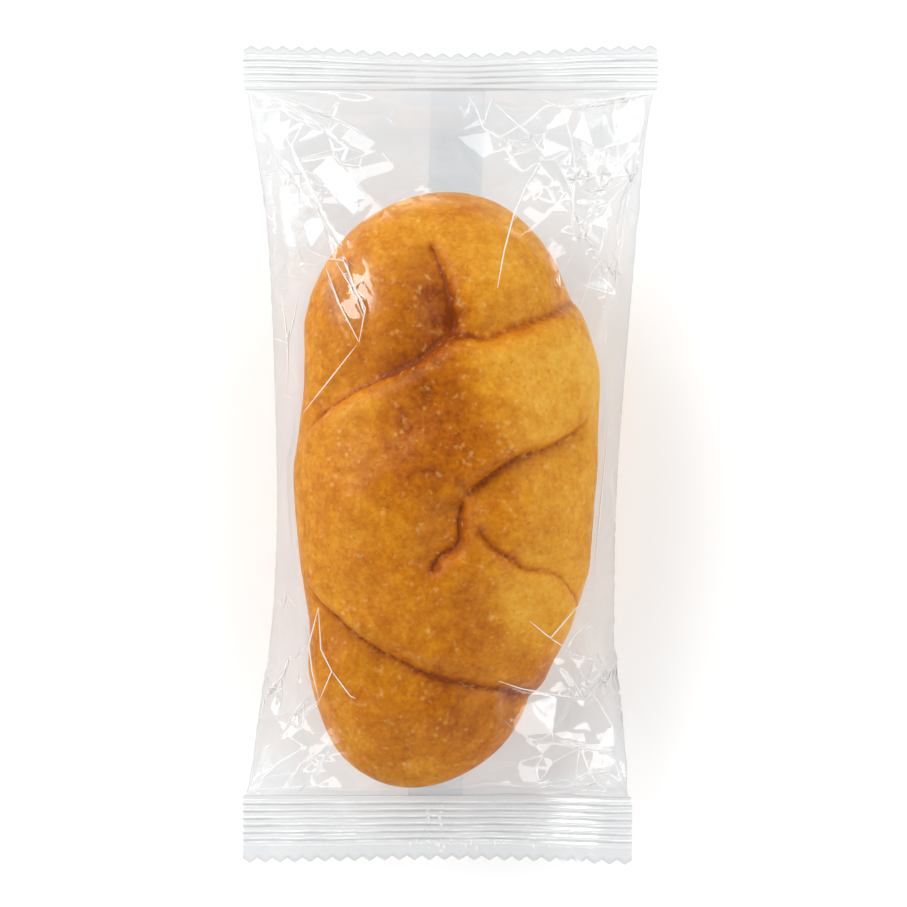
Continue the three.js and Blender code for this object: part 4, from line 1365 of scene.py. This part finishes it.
def crust_material():
    """Golden crust: browning, painted shade by the creases and in the slits, and several sizes of noise."""
    material, tree = empty_material("baked_crust")
    S = lambda operation, *values: sum_up(tree, operation, *values)
    where = add(tree, "ShaderNodeTexCoord").outputs["Object"]

    def noise_at(scale, detail=2.0):
        return cloudy(tree, where, scale, detail)

    def tint(amount, colour_in, colour):
        mix = tree.nodes.new("ShaderNodeMix")
        mix.data_type = "RGBA"
        tree.links.new(amount, mix.inputs[0])
        tree.links.new(colour_in, mix.inputs[6])
        mix.inputs[7].default_value = (*colour, 1)
        return mix.outputs[2]

    cloud, mottle, grain = noise_at(80.0, 4.0), noise_at(330.0, 4.0), noise_at(950.0, 3.0)
    # oven browning, with painted shade by the creases and under the middle turn
    level = kept(tree, "brown_and_shade")
    for clouds, strength in ((cloud, 0.5), (mottle, 0.55), (grain, 0.45)):
        level = S("ADD", level, S("MULTIPLY_ADD", clouds, strength, -strength / 2))
    # painted shade: the crust grows darker the deeper it lies in a slit
    level = S("ADD", level, S("MULTIPLY", kept(tree, "crease"), 0.55))
    ramp = add(tree, "ShaderNodeValToRGB", {0: level})
    for element, (position, colour) in zip(ramp.color_ramp.elements, (CRUST_COLOURS[0], CRUST_COLOURS[-1])):
        element.position, element.color = position, (*colour, 1)
    for position, colour in CRUST_COLOURS[1:-1]:
        ramp.color_ramp.elements.new(position).color = (*colour, 1)
    blisters = add(tree, "ShaderNodeTexVoronoi", {"Vector": where, "Scale": 430.0}).outputs["Distance"]
    flecked = S("MULTIPLY", between(tree, blisters, 0.30, 0.08),
                between(tree, noise_at(210.0, 3.0), 0.50, 0.66))
    colour = tint(S("MULTIPLY", flecked, 0.4), ramp.outputs[0], FLECKS)
    streaks = between(tree, noise_at(520.0, 5.0), 0.60, 0.70)
    colour = tint(S("MULTIPLY", streaks, 0.28), colour, STREAKS)
    colour = tint(S("MULTIPLY", between(tree, noise_at(1200.0), 0.36, 0.28), 0.4), colour, SPECKS)
    height = S("ADD", S("MULTIPLY", mottle, 0.5),
               S("MULTIPLY_ADD", grain, 0.35, S("MULTIPLY", streaks, 0.15)))
    bump = add(tree, "ShaderNodeBump", {"Strength": 0.5, "Distance": 0.0008, "Height": height}).outputs[0]
    surface = add(tree, "ShaderNodeBsdfPrincipled", {
        "Base Color": colour, "Normal": bump, "Specular IOR Level": 0.2,
        "Roughness": S("MULTIPLY_ADD", mottle, 0.25, 0.36),
        "Subsurface Weight": 0.10, "Subsurface Radius": (1.0, 0.35, 0.08), "Subsurface Scale": 0.002})
    output = add(tree, "ShaderNodeOutputMaterial")
    tree.links.new(surface.outputs[0], output.inputs[0])
    return material


croissant.data.materials.append(crust_material())

# %% [markdown]
# ## Floor and light
#
# Clear film is seen by what it mirrors. The object stands in a pale tent that is
# open above: film seen square on mirrors the dark opening and stays clear, and
# tilted film mirrors the wall. A large soft box on the upper left makes the
# broad white streaks, a weaker one lights the right side, and narrow strips
# catch the folds that face other ways. The floor is an opal light table, so the
# shadows stay pale.

# %% Floor, lights and room
FLAT_RADIUS, FLOOR_EDGE, WALL_REACH = 0.3, 2.2, 0.8      # in metres, and past its edge the floor bends up
bend = np.linspace(0.1, math.pi / 2, 12)
radius = np.concatenate([np.linspace(FLAT_RADIUS, FLOOR_EDGE, 6), FLOOR_EDGE + WALL_REACH * np.sin(bend)])
rise = np.concatenate([np.zeros(6), WALL_REACH * (1 - np.cos(bend))])
around = np.linspace(0, 2 * math.pi, 96, endpoint=False)
bowl = [(r * math.cos(a), r * math.sin(a), h) for r, h in zip(radius, rise) for a in around]
faces = [list(face)[::-1] for face in ring_faces(len(radius), len(around), 1)]
faces += [[0, 1 + k, 1 + (k + 1) % len(around)] for k in range(len(around))]
floor = make_mesh("floor", np.array([(0, 0, 0), *bowl]) / MM, faces, closed=False)
pale_floor = new_material("pale_floor", {
    "Base Color": (0.68, 0.68, 0.68, 1), "Roughness": 0.8,
    "Emission Color": (1, 1, 1, 1), "Emission Strength": 0.36})
pale_floor.cycles.emission_sampling = "NONE"      # it is large and even, so no ray has to aim at it
floor.data.materials.append(pale_floor)
floor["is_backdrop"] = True


SOFT_BOXES = [
    # name, azimuth from +X towards +Y, tilt from straight up, distance, width, height, brightness
    ("key", 148, 56, 1.2, 0.7, 0.7, 6.9),
    ("side", 0, 48, 1.3, 0.9, 0.5, 1.7),
    ("back", 90, 58, 1.3, 1.8, 0.22, 3.0),
    ("front", -90, 58, 1.3, 1.8, 0.22, 3.0),
    *((f"strip_{turn}", azimuth, 60, 1.3, 0.14, 1.0, 3.6)
      for turn, azimuth in enumerate((-52, -18, 14, 48, 205))),
]


def soft_box(name, azimuth, tilt, distance, width, height, brightness):
    """A soft box that faces the bag."""
    lamp = bpy.data.lights.new(name, "AREA")
    lamp.shape, lamp.size, lamp.size_y = "RECTANGLE", width, height
    lamp.energy = brightness * math.pi * width * height
    a, t = math.radians(azimuth), math.radians(tilt)
    holder = bpy.data.objects.new(name, lamp)
    holder.location = (distance * math.sin(t) * math.cos(a), distance * math.sin(t) * math.sin(a),
                       distance * math.cos(t))
    holder.rotation_euler = (t, 0, a + math.pi / 2)
    holder.visible_camera = False
    scene.collection.objects.link(holder)


for box in SOFT_BOXES:
    soft_box(*box)

room = bpy.data.worlds.new("room")
room.use_nodes = True
tree = room.node_tree
seen_towards = add(tree, "ShaderNodeTexCoord").outputs["Generated"]
upward = add(tree, "ShaderNodeSeparateXYZ", {0: seen_towards}).outputs["Z"]
tent = between(tree, upward, 0.90, 0.62, 0.03, 0.5, kind="SMOOTHSTEP")     # dark above, pale at the sides
tree.links.new(tent, tree.nodes["Background"].inputs["Strength"])
tree.nodes["Background"].inputs["Color"].default_value = (1, 1, 1, 1)
scene.world = room

# %% [markdown]
# ## Put the pieces in place
#
# Every piece rides on the one body, and together they stand for the solid
# that they replace.

# %% Ride, replace and measure
for piece in [croissant, film, *seals, threads, back_seam, flap, bubbles]:
    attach(piece, "root")
    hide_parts("sealed_bag")
made_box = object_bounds()
plain = lambda box: [[float(v) for v in corner] for corner in box]
{"cad": plain(cad_box), "visual": plain(made_box)}
print("the scene's box:", plain(made_box))
